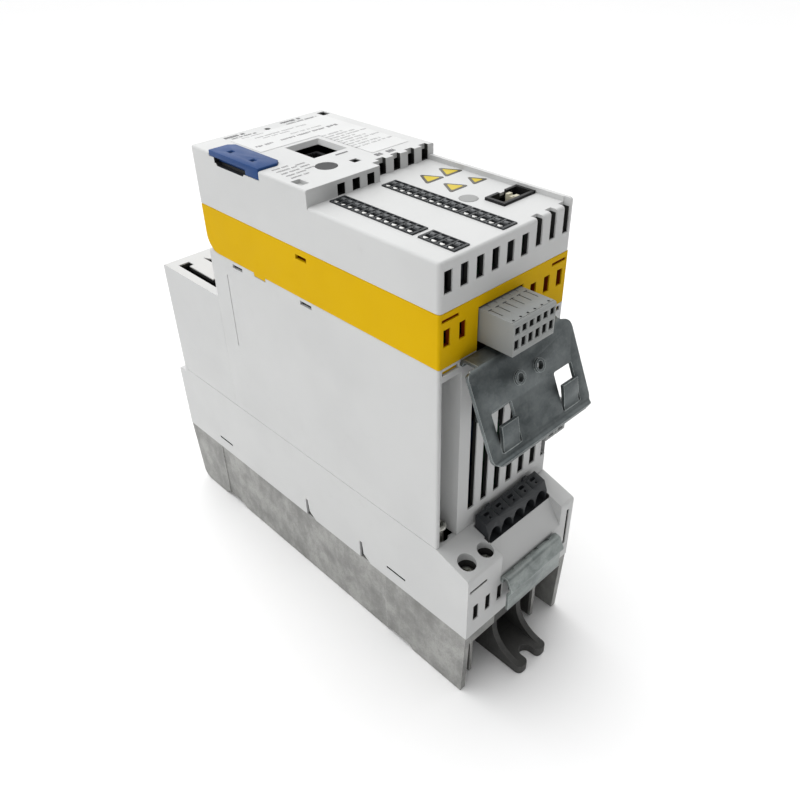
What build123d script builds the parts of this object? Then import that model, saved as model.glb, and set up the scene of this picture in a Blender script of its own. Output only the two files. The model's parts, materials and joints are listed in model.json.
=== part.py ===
from build123d import *

import os
from math import atan2, cos, sin

# Book-size servo drive, lying on its heatsink as it stands on a bench. Millimetres.
# Origin: centre of the mounting face, under the middle of the 216 x 70 mm base.
# +X is the connector end, -X the supply end, +Z the front panel, -Y the plain side.

# ---------------------------------------------------------------- driving sizes
WIDTH = 70.0  # across the book
LENGTH = 216.0  # base, end to end, without the mounting tabs
HEIGHT = 212.0  # mounting face to the raised front panel
WALL = 2.2  # moulded housing wall
GAP = 0.15  # fit between separate mouldings and boards
SEAM = 0.25  # broken edges where two mouldings meet

HALF = WIDTH / 2
END = LENGTH / 2
INNER = HALF - WALL

# levels, from the mounting face up
SINK_TOP = 38.0  # heatsink meets the base housing
BASE_TOP = 79.0  # base housing meets the main housing
BODY_TOP = 165.7  # main housing meets the safety frame
FRAME_TOP = 187.1  # safety frame meets the front cover
LOW_FRONT = 205.7  # terminal field of the front cover
REAR_TOP = 141.8  # rear housing
LIP = 2.0  # raised lip beside the terminal field

# stations along the base
BODY_REAR = -51.4
BODY_FRONT = 90.4
REAR_END = -101.0
STEP_NEAR = 24.3  # raised panel ends here on the -Y half
STEP_FAR = 19.9  # and here on the +Y half
STEP_Y = 1.0

# heatsink
SINK_WALL = 3.0
SINK_PLATE = 6.0
FIN_END = 102.4
SINK_END = 107.6
TAB_REACH = 119.8
TAB_THICK = 4.5
TAB_HALF = 10.0
SLOT_WIDTH = 6.6
SLOT_CENTRE = 115.2
FIN_CURVE = 15.5

# boards and the things on them
BOARD = 1.6
POWER_BOARD_Z = 54.0
SAFETY_BOARD_Z = 167.2
CONTROL_BOARD_Z = 190.8
BOARD_HALF = 31.5

# connectors
CONTROL_PITCH = 3.81
CONTROL_DEPTH = 7.4
SAFETY_PITCH = 3.81
SAFETY_POLES = 6
MOTOR_PITCH = 7.62
MOTOR_POLES = 5
BRAKE_PITCH = 6.3
BRAKE_POLES = 2

# shield bracket, a sheet that slants down and outwards from a ridge
SHEET = 1.5
BRACKET_Y = -2.6
BRACKET_HALF = 28.6
RIDGE_X = 99.9
RIDGE_Z = 165.0
SLANT_RUN = 14.0
SLANT_DROP = 30.0


# ---------------------------------------------------------------- helpers
def level(z):
    """Horizontal drawing plane at height z."""
    return Plane.XY.offset(z)


def side(y):
    """Drawing plane at y, drawn in X and Z; an extrusion from it runs towards -Y."""
    return Plane.XZ.offset(-y)


def end(x):
    """Drawing plane at x, drawn in Y and Z; an extrusion from it runs towards +X."""
    return Plane.YZ.offset(x)


def block(x0, x1, y0, y1, z0, z1, mode=Mode.ADD):
    """Box between six limits."""
    with Locations(((x0 + x1) / 2, (y0 + y1) / 2, (z0 + z1) / 2)):
        Box(x1 - x0, y1 - y0, z1 - z0, mode=mode)


def cut(x0, x1, y0, y1, z0, z1):
    """Remove the box between six limits."""
    block(x0, x1, y0, y1, z0, z1, mode=Mode.SUBTRACT)


def rect(x0, x1, y0, y1, mode=Mode.ADD):
    """Rectangle between four limits of the drawing plane."""
    with Locations(((x0 + x1) / 2, (y0 + y1) / 2)):
        Rectangle(x1 - x0, y1 - y0, mode=mode)


def outline(*points):
    """Filled polygon through the given points of the drawing plane."""
    Polygon(*points, align=None)


def post(x, y, z0, z1, radius, mode=Mode.ADD):
    """Upright cylinder between two levels."""
    with Locations((x, y, (z0 + z1) / 2)):
        Cylinder(radius, z1 - z0, mode=mode)


def break_seam(which):
    """Chamfer the outer edges of the part's lowest (0) or highest (-1) flat face."""
    chamfer(faces().group_by(Axis.Z)[which].edges(), length=SEAM)


def row(start, pitch, count):
    """Evenly spaced positions, the first at half a pitch from start."""
    return [start + pitch * (i + 0.5) for i in range(count)]


# ---------------------------------------------------------------- heatsink
with BuildPart() as heatsink:
    block(-SINK_END, SINK_END, -HALF + SINK_WALL, HALF - SINK_WALL, SINK_TOP - SINK_PLATE, SINK_TOP)
    # side walls: slanted ends, a rounded rear corner and two reliefs in the lower edge
    for outer in (-HALF + SINK_WALL, HALF):
        with BuildSketch(side(outer)):
            outline(
                (-SINK_END, SINK_TOP), (-103.6, 0), (-80.6, 0), (-78.6, 2.2), (-63.6, 2.2), (-61.6, 0),
                (57.4, 0), (59.4, 2.2), (73.4, 2.2), (75.4, 0), (106.0, 0), (SINK_END, SINK_TOP),
            )
            rear_foot = vertices().group_by(Axis.Y)[0].sort_by(Axis.X)[0]
            fillet(rear_foot, radius=6)
        extrude(amount=SINK_WALL)
    # the long middle of each side wall stands back a little from the ends
    for y0, y1 in ((-HALF, -HALF + 0.4), (HALF - 0.4, HALF)):
        cut(-76.6, 57.9, y0, y1, 0, SINK_TOP)
    # thin fins
    for y, thick in ((-24.3, 1.6), (20.4, 2.0)):
        block(-FIN_END, FIN_END, y - thick / 2, y + thick / 2, 1.0, SINK_TOP - SINK_PLATE)
    # centre channel with its floor, running out into the two mounting tabs
    with BuildSketch(side(TAB_HALF)):
        with BuildLine():
            curve_top = TAB_THICK + FIN_CURVE
            curve_end = FIN_END + FIN_CURVE
            Polyline((-curve_end, TAB_THICK), (-TAB_REACH, TAB_THICK), (-TAB_REACH, 0), (TAB_REACH, 0),
                     (TAB_REACH, TAB_THICK), (curve_end, TAB_THICK))
            RadiusArc((curve_end, TAB_THICK), (FIN_END, curve_top), FIN_CURVE)
            Polyline((FIN_END, curve_top), (FIN_END, SINK_TOP - 1), (-FIN_END, SINK_TOP - 1),
                     (-FIN_END, curve_top))
            RadiusArc((-FIN_END, curve_top), (-curve_end, TAB_THICK), FIN_CURVE)
        make_face()
    extrude(amount=2 * TAB_HALF)
    cut(-TAB_REACH, TAB_REACH, -TAB_HALF + SINK_WALL, TAB_HALF - SINK_WALL, TAB_THICK, SINK_TOP - SINK_PLATE)
    # open slots for the mounting screws
    for way in (-1, 1):
        with BuildSketch(level(0)):
            with Locations((way * SLOT_CENTRE, 0)):
                Circle(SLOT_WIDTH / 2)
            with Locations((way * (SLOT_CENTRE + 5), 0)):
                Rectangle(10, SLOT_WIDTH)
        extrude(amount=TAB_THICK + 8, mode=Mode.SUBTRACT)
    tab_corners = edges().filter_by(Axis.Z).filter_by(lambda e: abs(e.center().X) > TAB_REACH - 0.1)
    fillet(tab_corners, radius=2.6)
    # blind holes for the screws that hold the base and the power module
    for x in (-85, 70):
        for y in (-26, 26):
            post(x, y, SINK_TOP - 5.5, SINK_TOP, 1.6, mode=Mode.SUBTRACT)

# ---------------------------------------------------------------- base housing
FOOT_DROP = 5.6  # the foot's top falls this much towards its end
LEDGE_TOP = 77.0
MOTOR_Y0 = -13.6
MOTOR_Y1 = MOTOR_Y0 + MOTOR_PITCH * MOTOR_POLES + 1.2
MOTOR_X0 = 92.0
MOTOR_X1 = 99.6
foot_wells = ((101.3, -28.7, 4.0), (101.9, -18.1, 3.6))
WELL_FLOOR = 66.0

with BuildPart() as base_housing:
    with BuildSketch(side(HALF)):
        outline((-END, SINK_TOP), (END, SINK_TOP), (END, BASE_TOP - FOOT_DROP), (BODY_FRONT, BASE_TOP),
                (REAR_END, BASE_TOP), (REAR_END, LEDGE_TOP), (-END, LEDGE_TOP))
    extrude(amount=WIDTH)
    # slope from the motor plug down to the clamp plate
    with BuildSketch(side(MOTOR_Y1 + 0.4)):
        outline((MOTOR_X1, BASE_TOP), (MOTOR_X1, BASE_TOP - 2.4), (END, 62.2), (END + 1, 62.2),
                (END + 1, BASE_TOP))
    extrude(amount=MOTOR_Y1 - MOTOR_Y0 + 0.8, mode=Mode.SUBTRACT)
    end_edges = edges().filter_by(Axis.Y).filter_by(lambda e: abs(e.center().X) > END - 0.1)
    outer_rim = end_edges.filter_by(lambda e: e.center().Z > 60)
    fillet(outer_rim, radius=1.6)
    # hollow, open below for the heatsink and above for the main housing
    cut(-END + WALL, BODY_FRONT - 4, -INNER, INNER, SINK_TOP, BASE_TOP - WALL)
    cut(BODY_FRONT - 4, END - WALL, -INNER, INNER, SINK_TOP, 60.0)
    cut(REAR_END + WALL, BODY_FRONT - WALL, -INNER, INNER, BASE_TOP - WALL, BASE_TOP)
    # seat of the motor plug
    cut(MOTOR_X0 - 0.6, MOTOR_X1 + 1.2, MOTOR_Y0 - 0.3, MOTOR_Y1 + 0.3, 57.0, BASE_TOP)
    # screw wells in the foot
    for x, y, radius in foot_wells:
        post(x, y, WELL_FLOOR, BASE_TOP + 1, radius, mode=Mode.SUBTRACT)
        post(x, y, 60.0, WELL_FLOOR, 1.5, mode=Mode.SUBTRACT)
    # foot of the side groove, with the bore for the earth screw
    post(85.0, -28.2, 66.0, BASE_TOP, 4.2, mode=Mode.SUBTRACT)
    # vents in the foot's end wall
    cut(END - 3, END + 1, -33.7, -23.2, 65.4, 66.8)
    for y in (-29.6, -22.0, -14.4, -6.8, 0.8, 8.4, 16.0):
        cut(END - 3, END + 1, y - 1.6, y + 1.6, 47.0, 56.0)
    cut(END - 3, END + 1, 30.6, 32.4, 47.0, 68.5)
    # clip notches and thin slots along both lower edges
    for y in (-HALF, HALF):
        for x in (0.6, 41.0):
            with BuildSketch(side(y + 1.5)):
                outline((x, SINK_TOP), (x + 7, SINK_TOP), (x + 2.4, SINK_TOP + 3.4),
                        (x + 1.6, SINK_TOP + 10.4), (x, SINK_TOP + 10.4))
            extrude(amount=3.0, mode=Mode.SUBTRACT)
        for x in (-70.0, 65.4):
            cut(x - 6, x + 6, y - 0.8, y + 0.8, 44.6, 45.8)

# ---------------------------------------------------------------- main housing
GROOVE_Y0 = -33.4
GROOVE_Y1 = -23.2
GROOVE_DEEP = 9.5
SNAP_Y = (-29.0, 28.6)
grille = [-15.0 + 8.0 * i for i in range(7)]
TAB_X0 = -17.3
TAB_X1 = -9.5
BRAKE_Y0 = 19.8
BRAKE_Y1 = BRAKE_Y0 + BRAKE_PITCH * BRAKE_POLES
BRAKE_Z0 = 109.6
BRAKE_Z1 = 124.0

with BuildPart() as main_housing:
    block(BODY_REAR, BODY_FRONT, -HALF, HALF, BASE_TOP, BODY_TOP)
    fillet(edges().filter_by(Axis.Z).group_by(Axis.X)[-1], radius=1.0)
    break_seam(0)
    break_seam(-1)
    cut(BODY_REAR + WALL, BODY_FRONT - WALL, -INNER, INNER, BASE_TOP, BODY_TOP)
    # deep groove beside the grille: a screwdriver reaches the earth screw through it
    groove_back = BODY_FRONT - GROOVE_DEEP - WALL
    block(groove_back, BODY_FRONT - 1, -INNER - 1, GROOVE_Y1 + WALL, BASE_TOP, 160.0 + WALL)
    cut(BODY_FRONT - GROOVE_DEEP, BODY_FRONT, GROOVE_Y0, GROOVE_Y1, BASE_TOP, 160.0)
    # ventilation grille: two long slots, then split ones
    for i, y in enumerate(grille):
        top = 158.0 if i < 2 else 103.0
        cut(BODY_FRONT - 4, BODY_FRONT, y - 1.95, y + 1.95, 89.0, top)
        if i >= 2:
            cut(BODY_FRONT - 4, BODY_FRONT, y - 1.95, y + 1.95, 130.0 if i > 3 else 108.0, 158.0)
    # snap windows under the safety frame
    for y in SNAP_Y:
        cut(BODY_FRONT - 4, BODY_FRONT, y - 4.2, y + 4.2, 162.6, 164.6)
    for x in (17.5, -30.0):
        cut(x - 3.6, x + 3.6, -HALF, -HALF + 1.4, 162.4, 164.2)
        cut(x - 3.6, x + 3.6, HALF - 1.4, HALF, 162.4, 164.2)
    # mouth of the brake plug, in the far corner below the shield bracket
    cut(BODY_FRONT - 4, BODY_FRONT, BRAKE_Y0 - 0.3, BRAKE_Y1 + 0.2, BRAKE_Z0 - 0.4, BRAKE_Z1 + 0.4)
    # relief for the tab on the safety frame's lower edge
    cut(TAB_X0 - 0.2, TAB_X1 + 0.2, -HALF, -HALF + 1.2, BODY_TOP - 1.8, BODY_TOP)
    # gap for the safety header
    cut(BODY_FRONT - 4, BODY_FRONT, -15.6, 8.6, BODY_TOP - 1.5, BODY_TOP)
    # shallow sink mark along the rear of each side
    for y0, y1 in ((-HALF, -HALF + 0.3), (HALF - 0.3, HALF)):
        cut(-39.9, -39.3, y0, y1, 120.0, 157.0)
    # the two slots behind the shield bracket's hooks
    for y in (BRACKET_Y - 7, BRACKET_Y + 7):
        cut(BODY_FRONT - 4, BODY_FRONT, y - 3.2, y + 3.2, 160.6, 162.2)

# ---------------------------------------------------------------- rear housing
with BuildPart() as rear_housing:
    block(REAR_END, BODY_REAR - 0.05, -HALF, HALF, BASE_TOP, REAR_TOP)
    cut(REAR_END + WALL, BODY_REAR, -INNER, INNER, BASE_TOP, REAR_TOP - WALL)
    top_rim = edges().group_by(Axis.Z)[-1].filter_by(Axis.Y).sort_by(Axis.X)[0]
    fillet(top_rim, radius=1.5)
    chamfer(edges().group_by(Axis.Z)[0].filter_by(lambda e: abs(e.center().Y) > HALF - 0.1), length=SEAM)
    # stepped slot for the plug release and a vent beside it
    cut(-93.6, -61.0, -30.6, -27.0, REAR_TOP - WALL, REAR_TOP)
    cut(-93.6, -89.0, -30.6, -24.6, REAR_TOP - WALL, REAR_TOP)
    cut(-68.0, -60.0, -30.6, -24.6, REAR_TOP - WALL, REAR_TOP)
    with BuildSketch(level(REAR_TOP - WALL)):
        outline((-92.6, -17.0), (-83.4, -17.0), (-83.4, -12.6))
    extrude(amount=WALL, mode=Mode.SUBTRACT)
    for y in (-2.0, 8.0, 18.0, 28.0):
        cut(-93.0, -61.0, y - 1.95, y + 1.95, REAR_TOP - WALL, REAR_TOP)
    # mouth of the mains terminal block in the supply end
    cut(REAR_END, REAR_END + WALL, -19.0, 5.0, 84.0, 100.0)
    for y in (14.0, 20.0, 26.0):
        cut(REAR_END, REAR_END + WALL, y - 1.95, y + 1.95, 86.0, 128.0)

# ---------------------------------------------------------------- safety frame
SOCKET_Y0 = -15.6
SOCKET_Y1 = 8.6
with BuildPart() as safety_frame:
    with BuildSketch(side(HALF)):
        rect(BODY_REAR, BODY_FRONT, BODY_TOP, FRAME_TOP)
        rear_low = vertices().group_by(Axis.X)[0].sort_by(Axis.Y)[0]
        fillet(rear_low, radius=7.5)
    extrude(amount=WIDTH)
    fillet(edges().filter_by(Axis.Z).group_by(Axis.X)[-1], radius=1.0)
    break_seam(-1)
    cut(BODY_REAR + WALL, BODY_FRONT - WALL, -INNER, INNER, BODY_TOP, FRAME_TOP)
    # mouth for the safety plug
    cut(BODY_FRONT - WALL - 1, BODY_FRONT, SOCKET_Y0, SOCKET_Y1, BODY_TOP, 182.8)
    # vents and the two thin snap ledges in the connector end
    for y in (-31.2, -23.4, 14.6, 22.6, 30.4):
        cut(BODY_FRONT - 4, BODY_FRONT, y - 1.7, y + 1.7, 174.0, 180.8)
    for y in (-29.6, 29.2):
        cut(BODY_FRONT - 0.9, BODY_FRONT, y - 4.2, y + 4.2, 183.6, 184.9)
    # latch windows in both sides, and the tab on the lower edge of the plain side
    for y0, y1 in ((-HALF, -INNER), (INNER, HALF)):
        cut(13.9, 20.6, y0, y1, 182.4, 184.4)
    block(TAB_X0, TAB_X1, -HALF, -HALF + 1.0, BODY_TOP - 1.5, BODY_TOP)
    # snap hooks behind the housing's end wall, with their noses in its windows
    for y in SNAP_Y:
        block(BODY_FRONT - WALL - 1.7, BODY_FRONT - WALL - 0.1, y - 3.8, y + 3.8, 162.8, 166.8)
        block(BODY_FRONT - WALL - 1.7, BODY_FRONT - WALL + 0.5, y - 3.8, y + 3.8, BODY_TOP + 0.1, 166.8)
        block(BODY_FRONT - WALL - 1.7, BODY_FRONT - 0.9, y - 3.8, y + 3.8, 162.8, 164.0)

# ---------------------------------------------------------------- front cover
control_rows = {
    "control_terminal_a1": (25.9, -22.0, 11),
    "control_terminal_a2": (71.4, -22.0, 4),
    "control_terminal_b1": (28.0, 2.0, 10),
    "control_terminal_b2": (67.7, 2.0, 5),
}
MODULE_X0 = -38.4
MODULE_X1 = -4.6
MODULE_Y1 = -23.3
MODULE_SEAT = 208.4  # underside of the memory module's lid
MODULE_TOP = 213.0
MODULE_LIP = 210.5  # underside of its lip, which a fingernail catches over the notch
NOTCH_X0 = -35.0
NOTCH_X1 = -13.6
NOTCH_DEEP = 2.4
KEY_X0 = -31.0  # the module's plug body
KEY_X1 = -12.0
KEY_Y0 = -32.0
KEY_Y1 = -26.0
KEY_BOTTOM = 196.4
PORT_X0 = -16.1
PORT_X1 = -3.6
PORT_Y0 = -7.0
PORT_Y1 = 2.2
WINDOW = (9.6, -13.1)
DISC = (60.5, 11.5)
HEADER_X0 = 65.7
HEADER_X1 = 74.9
HEADER_Y0 = 14.4
HEADER_Y1 = 32.2
cover_vents = [-31.0 + 7.75 * i for i in range(9)]


def terminal_length(count):
    """Outside length of a control terminal strip."""
    return count * CONTROL_PITCH + 1.2


def module_plan(grow):
    """Outline of the memory module's lid, grown by a clearance."""
    rect(MODULE_X0 - grow, MODULE_X1 + grow, -HALF - 3, MODULE_Y1 + grow)
    chamfer(vertices().group_by(Axis.Y)[-1], length=2.6)


def front_rim_edge(edge):
    """True for the outer top edges of the terminal field and of its raised lip."""
    middle = edge.center()
    level_edge = edge.bounding_box().size.Z < 0.01
    outer = middle.X > BODY_FRONT - 1 or abs(middle.Y) > HALF - 0.1
    return level_edge and outer and middle.Z > LOW_FRONT - 0.1 and middle.X > BODY_REAR + 1


with BuildPart() as front_cover:
    block(BODY_REAR, BODY_FRONT, -HALF, HALF, FRAME_TOP, LOW_FRONT)
    # raised lip along the far edge of the terminal field
    block(BODY_REAR, BODY_FRONT, HALF - 2.6, HALF, LOW_FRONT, LOW_FRONT + LIP)
    fillet(edges().filter_by(Axis.Z).filter_by(lambda e: e.length > 10).group_by(Axis.X)[-1], radius=1.6)
    fillet(edges().filter_by(front_rim_edge), radius=1.2)
    break_seam(0)
    # raised panel, with a stepped end
    with BuildSketch(level(LOW_FRONT - 3)):
        rect(BODY_REAR, STEP_NEAR, -HALF, STEP_Y)
        rect(BODY_REAR, STEP_FAR, STEP_Y, HALF)
    extrude(amount=HEIGHT - LOW_FRONT + 3)
    panel_rim = edges().filter_by(Axis.X).filter_by(
        lambda e: e.center().Z > HEIGHT - 0.1 and abs(e.center().Y) > HALF - 0.1)
    fillet(panel_rim, radius=0.8)
    # hollow
    cut(BODY_REAR + WALL, BODY_FRONT - WALL, -INNER, INNER, FRAME_TOP, LOW_FRONT - WALL)
    cut(BODY_REAR + WALL, STEP_NEAR - WALL, -INNER, STEP_Y - WALL, LOW_FRONT - WALL, HEIGHT - WALL)
    cut(BODY_REAR + WALL, STEP_FAR - WALL, STEP_Y - WALL, INNER, LOW_FRONT - WALL, HEIGHT - WALL)
    # material under the memory module, its seat, its socket and the finger notch in the side
    block(MODULE_X0 - WALL, MODULE_X1 + WALL, -HALF + 1, MODULE_Y1 + WALL, 203.0, HEIGHT - 1)
    with BuildSketch(level(MODULE_SEAT)):
        module_plan(GAP)
    extrude(amount=6, mode=Mode.SUBTRACT)
    block(MODULE_X0 - GAP, NOTCH_X0, -HALF, -HALF + NOTCH_DEEP, MODULE_SEAT, MODULE_LIP)
    cut(KEY_X0 - GAP, KEY_X1 + GAP, KEY_Y0 - GAP, KEY_Y1 + GAP, FRAME_TOP, MODULE_SEAT)
    with BuildSketch(side(-HALF + NOTCH_DEEP)):
        outline((NOTCH_X0, MODULE_LIP), (NOTCH_X0, MODULE_SEAT + 1), (-33.2, 207.4), (-15.4, 207.4),
                (NOTCH_X1, MODULE_SEAT + 1), (NOTCH_X1, MODULE_LIP))
    extrude(amount=4, mode=Mode.SUBTRACT)
    # diagnostic port: tapered recess over the socket's mouth
    with BuildSketch(level(HEIGHT)):
        rect(-19.6, -0.8, -10.8, 6.4)
    extrude(amount=-3.2, taper=22, mode=Mode.SUBTRACT)
    cut(PORT_X0, PORT_X1, PORT_Y0, PORT_Y1, HEIGHT - WALL - 2, HEIGHT)
    cut(PORT_X1, PORT_X1 + 1.6, PORT_Y0 + 2.2, PORT_Y1 - 2.2, HEIGHT - WALL - 2, HEIGHT)
    # seats of the status window and the blanking disc
    post(*WINDOW, HEIGHT - 0.9, HEIGHT, 4.4 + GAP / 2, mode=Mode.SUBTRACT)
    post(*WINDOW, HEIGHT - 3, HEIGHT, 1.6, mode=Mode.SUBTRACT)
    post(*DISC, LOW_FRONT - 0.9, LOW_FRONT, 3.6 + GAP / 2, mode=Mode.SUBTRACT)
    # tool pockets and the pin hole of the raised panel
    for x, y, long, wide in ((16.2, -31.0, 6.0, 4.0), (12.9, -1.4, 3.6, 3.6), (-46.3, 31.2, 5.0, 4.0)):
        cut(x - long / 2, x + long / 2, y - wide / 2, y + wide / 2, HEIGHT - 1.6, HEIGHT)
    post(-46.1, -0.2, HEIGHT - 1.6, HEIGHT, 1.4, mode=Mode.SUBTRACT)
    # openings for the control terminals and the option header
    for x, y, count in control_rows.values():
        reach = CONTROL_DEPTH / 2 + GAP
        cut(x - GAP, x + terminal_length(count) + GAP, y - reach, y + reach, LOW_FRONT - WALL, LOW_FRONT)
    cut(HEADER_X0 - GAP, HEADER_X1 + GAP, HEADER_Y0 - GAP, HEADER_Y1 + GAP, LOW_FRONT - WALL, LOW_FRONT)
    # vents in the connector end; the last three wrap over the rim
    for i, y in enumerate(cover_vents):
        if i < 6:
            cut(BODY_FRONT - WALL, BODY_FRONT, y - 1.95, y + 1.95, 194.0, 202.2)
        else:
            cut(BODY_FRONT - WALL, BODY_FRONT, y - 1.7, y + 1.7, 195.0, LOW_FRONT)
            cut(BODY_FRONT - WALL - 0.9, BODY_FRONT, y - 1.7, y + 1.7, LOW_FRONT - WALL, LOW_FRONT + 2)
    # vents in the step
    for y in (-18.4, -11.0, -3.6):
        cut(STEP_NEAR - WALL, STEP_NEAR, y - 1.9, y + 1.9, LOW_FRONT + 0.2, HEIGHT - 1.6)
    for y in (6.6, 14.4, 22.2, 30.0):
        cut(STEP_FAR - WALL, STEP_FAR, y - 1.9, y + 1.9, LOW_FRONT + 0.2, HEIGHT)

# ---------------------------------------------------------------- memory module
with BuildPart() as memory_module:
    with BuildSketch(level(MODULE_SEAT + 0.1)):
        module_plan(0)
    extrude(amount=MODULE_TOP - MODULE_SEAT - 0.1)
    cut(MODULE_X0, MODULE_X1, -HALF - 4, -HALF, MODULE_SEAT, MODULE_TOP)
    module_rim = edges().group_by(Axis.Z)[-1]
    chamfer(module_rim, length=0.5)
    block(KEY_X0, KEY_X1, KEY_Y0, KEY_Y1, KEY_BOTTOM, MODULE_SEAT + 0.1)
    for x in (-29.4, -14.3):
        cut(x - 1.1, x + 1.1, -31.2, -29.0, MODULE_TOP - 1.4, MODULE_TOP)
    cut(MODULE_X0 - 1, NOTCH_X1, -HALF - 1, -HALF + NOTCH_DEEP, MODULE_SEAT, MODULE_LIP + 0.1)

# ---------------------------------------------------------------- front panel fittings
with BuildPart() as diagnostic_socket:
    block(PORT_X0 - 1.6, PORT_X1 + 3.0, PORT_Y0 - 1.6, PORT_Y1 + 1.6, CONTROL_BOARD_Z + BOARD, HEIGHT - 4.3)
    cut(PORT_X0, PORT_X1, PORT_Y0, PORT_Y1, 196.0, HEIGHT)
    cut(PORT_X1 - 1, PORT_X1 + 1.6, PORT_Y0 + 2.2, PORT_Y1 - 2.2, 198.0, HEIGHT)
    for y in row(PORT_Y0 + 1.1, 1.17, 6):
        cut(PORT_X0 - 1.0, PORT_X0, y - 0.35, y + 0.35, 197.0, HEIGHT)

with BuildPart() as diagnostic_contacts:
    for y in row(PORT_Y0 + 1.1, 1.17, 6):
        with BuildSketch(side(y + 0.25)):
            outline((PORT_X0 - 0.9, 198.0), (PORT_X0 + 2.4, 204.4), (PORT_X0 + 2.4, 204.9),
                    (PORT_X0 - 0.9, 198.6))
        extrude(amount=0.5)

with BuildPart() as status_window:
    post(*WINDOW, HEIGHT - 0.9, HEIGHT - 0.05, 4.4)
    fillet(edges().group_by(Axis.Z)[-1], radius=0.3)

with BuildPart() as light_pipe:
    post(*WINDOW, CONTROL_BOARD_Z + BOARD + 1.6, HEIGHT - 1.0, 1.5)

with BuildPart() as status_led:
    block(WINDOW[0] - 0.8, WINDOW[0] + 0.8, WINDOW[1] - 0.6, WINDOW[1] + 0.6,
          CONTROL_BOARD_Z + BOARD, CONTROL_BOARD_Z + BOARD + 0.8)

with BuildPart() as blanking_disc:
    post(*DISC, LOW_FRONT - 0.9, LOW_FRONT + 0.15, 3.6)
    fillet(edges().group_by(Axis.Z)[-1], radius=0.3)

# printed film on the raised panel, in two fields clear of the openings
with BuildPart() as label_film:
    with BuildSketch(level(HEIGHT)):
        rect(-43.6, 11.4, 9.0, 29.0)
        rect(-43.6, -22.0, -21.0, 9.0)
        fillet(vertices(), radius=0.6)
    extrude(amount=0.12)

# four plain triangular stickers
with BuildPart() as triangle_stickers:
    for x, y, size in ((36.1, 27.2, 5.3), (36.1, 16.6, 5.3), (48.9, 16.2, 5.2), (50.2, 27.4, 4.2)):
        with BuildSketch(level(LOW_FRONT)):
            with Locations((x, y)):
                RegularPolygon(size, 3, rotation=180)
        extrude(amount=0.12)

# ---------------------------------------------------------------- control terminals
TERMINAL_TOP = LOW_FRONT + 0.5
TERMINAL_BOTTOM = CONTROL_BOARD_Z + BOARD


def control_terminal(x, y, count):
    """Push-in terminal strip: one wire funnel and one release slot for each pole."""
    length = terminal_length(count)
    with BuildPart() as strip:
        block(x, x + length, y - CONTROL_DEPTH / 2, y + CONTROL_DEPTH / 2, TERMINAL_BOTTOM, TERMINAL_TOP)
        for pole in row(x + 0.6, CONTROL_PITCH, count):
            cut(pole - 1.4, pole + 1.4, y - 3.1, y - 0.1, TERMINAL_TOP - 7, TERMINAL_TOP)
            cut(pole - 1.0, pole + 1.0, y + 0.9, y + 2.9, TERMINAL_TOP - 3, TERMINAL_TOP)
    return strip


def control_clamps(x, y, count):
    """Bent spring leaves, one at the bottom of each wire funnel."""
    with BuildPart() as leaves:
        for pole in row(x + 0.6, CONTROL_PITCH, count):
            with BuildSketch(end(pole - 1.1)):
                outline((y - 3.0, 200.4), (y - 0.4, 203.4), (y - 0.4, 203.9), (y - 3.0, 201.0))
            extrude(amount=2.2)
    return leaves


control_strips = {name: control_terminal(*place) for name, place in control_rows.items()}
clamp_rows = {
    name.replace("terminal", "clamps"): control_clamps(*place) for name, place in control_rows.items()
}

# ---------------------------------------------------------------- option header
with BuildPart() as option_header:
    block(HEADER_X0, HEADER_X1, HEADER_Y0, HEADER_Y1, TERMINAL_BOTTOM, LOW_FRONT + 1.0)
    cut(HEADER_X0 + 1.2, HEADER_X1 - 1.2, HEADER_Y0 + 1.2, HEADER_Y1 - 1.2, 197.5, LOW_FRONT + 1.0)
    cut(HEADER_X0, HEADER_X0 + 1.2, 21.4, 25.4, 201.5, LOW_FRONT + 1.0)

pin_rows = (HEADER_X0 + 3.3, HEADER_X0 + 5.84)
pin_stations = row(HEADER_Y0 + 1.4, 2.54, 6)
with BuildPart() as option_pins:
    for x in pin_rows:
        for y in pin_stations:
            block(x - 0.32, x + 0.32, y - 0.32, y + 0.32, 197.5, 203.6)

with BuildPart() as jumper_cap:
    block(pin_rows[0] - 1.2, pin_rows[1] + 1.2, pin_stations[3] - 1.15, pin_stations[3] + 1.15, 198.6, 206.2)
    for x in pin_rows:
        cut(x - 0.4, x + 0.4, pin_stations[3] - 0.4, pin_stations[3] + 0.4, 198.6, 204.2)

# ---------------------------------------------------------------- safety plug and its header
PLUG_Y0 = -14.8
PLUG_Y1 = PLUG_Y0 + SAFETY_PITCH * SAFETY_POLES
PLUG_BACK = 82.0
PLUG_FRONT = 105.6
PLUG_Z0 = 168.9
PLUG_Z1 = 181.8
HEADER_BACK = 76.0
safety_stations = row(PLUG_Y0, SAFETY_PITCH, SAFETY_POLES)

with BuildPart() as safety_header:
    block(HEADER_BACK, BODY_FRONT - WALL, PLUG_Y0 - 0.6, PLUG_Y1 + 0.6, SAFETY_BOARD_Z + BOARD, 182.4)
    cut(HEADER_BACK + 1.6, BODY_FRONT, PLUG_Y0 - GAP, PLUG_Y1 + GAP, SAFETY_BOARD_Z + BOARD, PLUG_Z1 + 0.1)

with BuildPart() as safety_header_pins:
    for y in safety_stations:
        for z in (172.4, 178.0):
            block(HEADER_BACK + 1.6, HEADER_BACK + 10.0, y - 0.4, y + 0.4, z - 0.4, z + 0.4)

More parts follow.
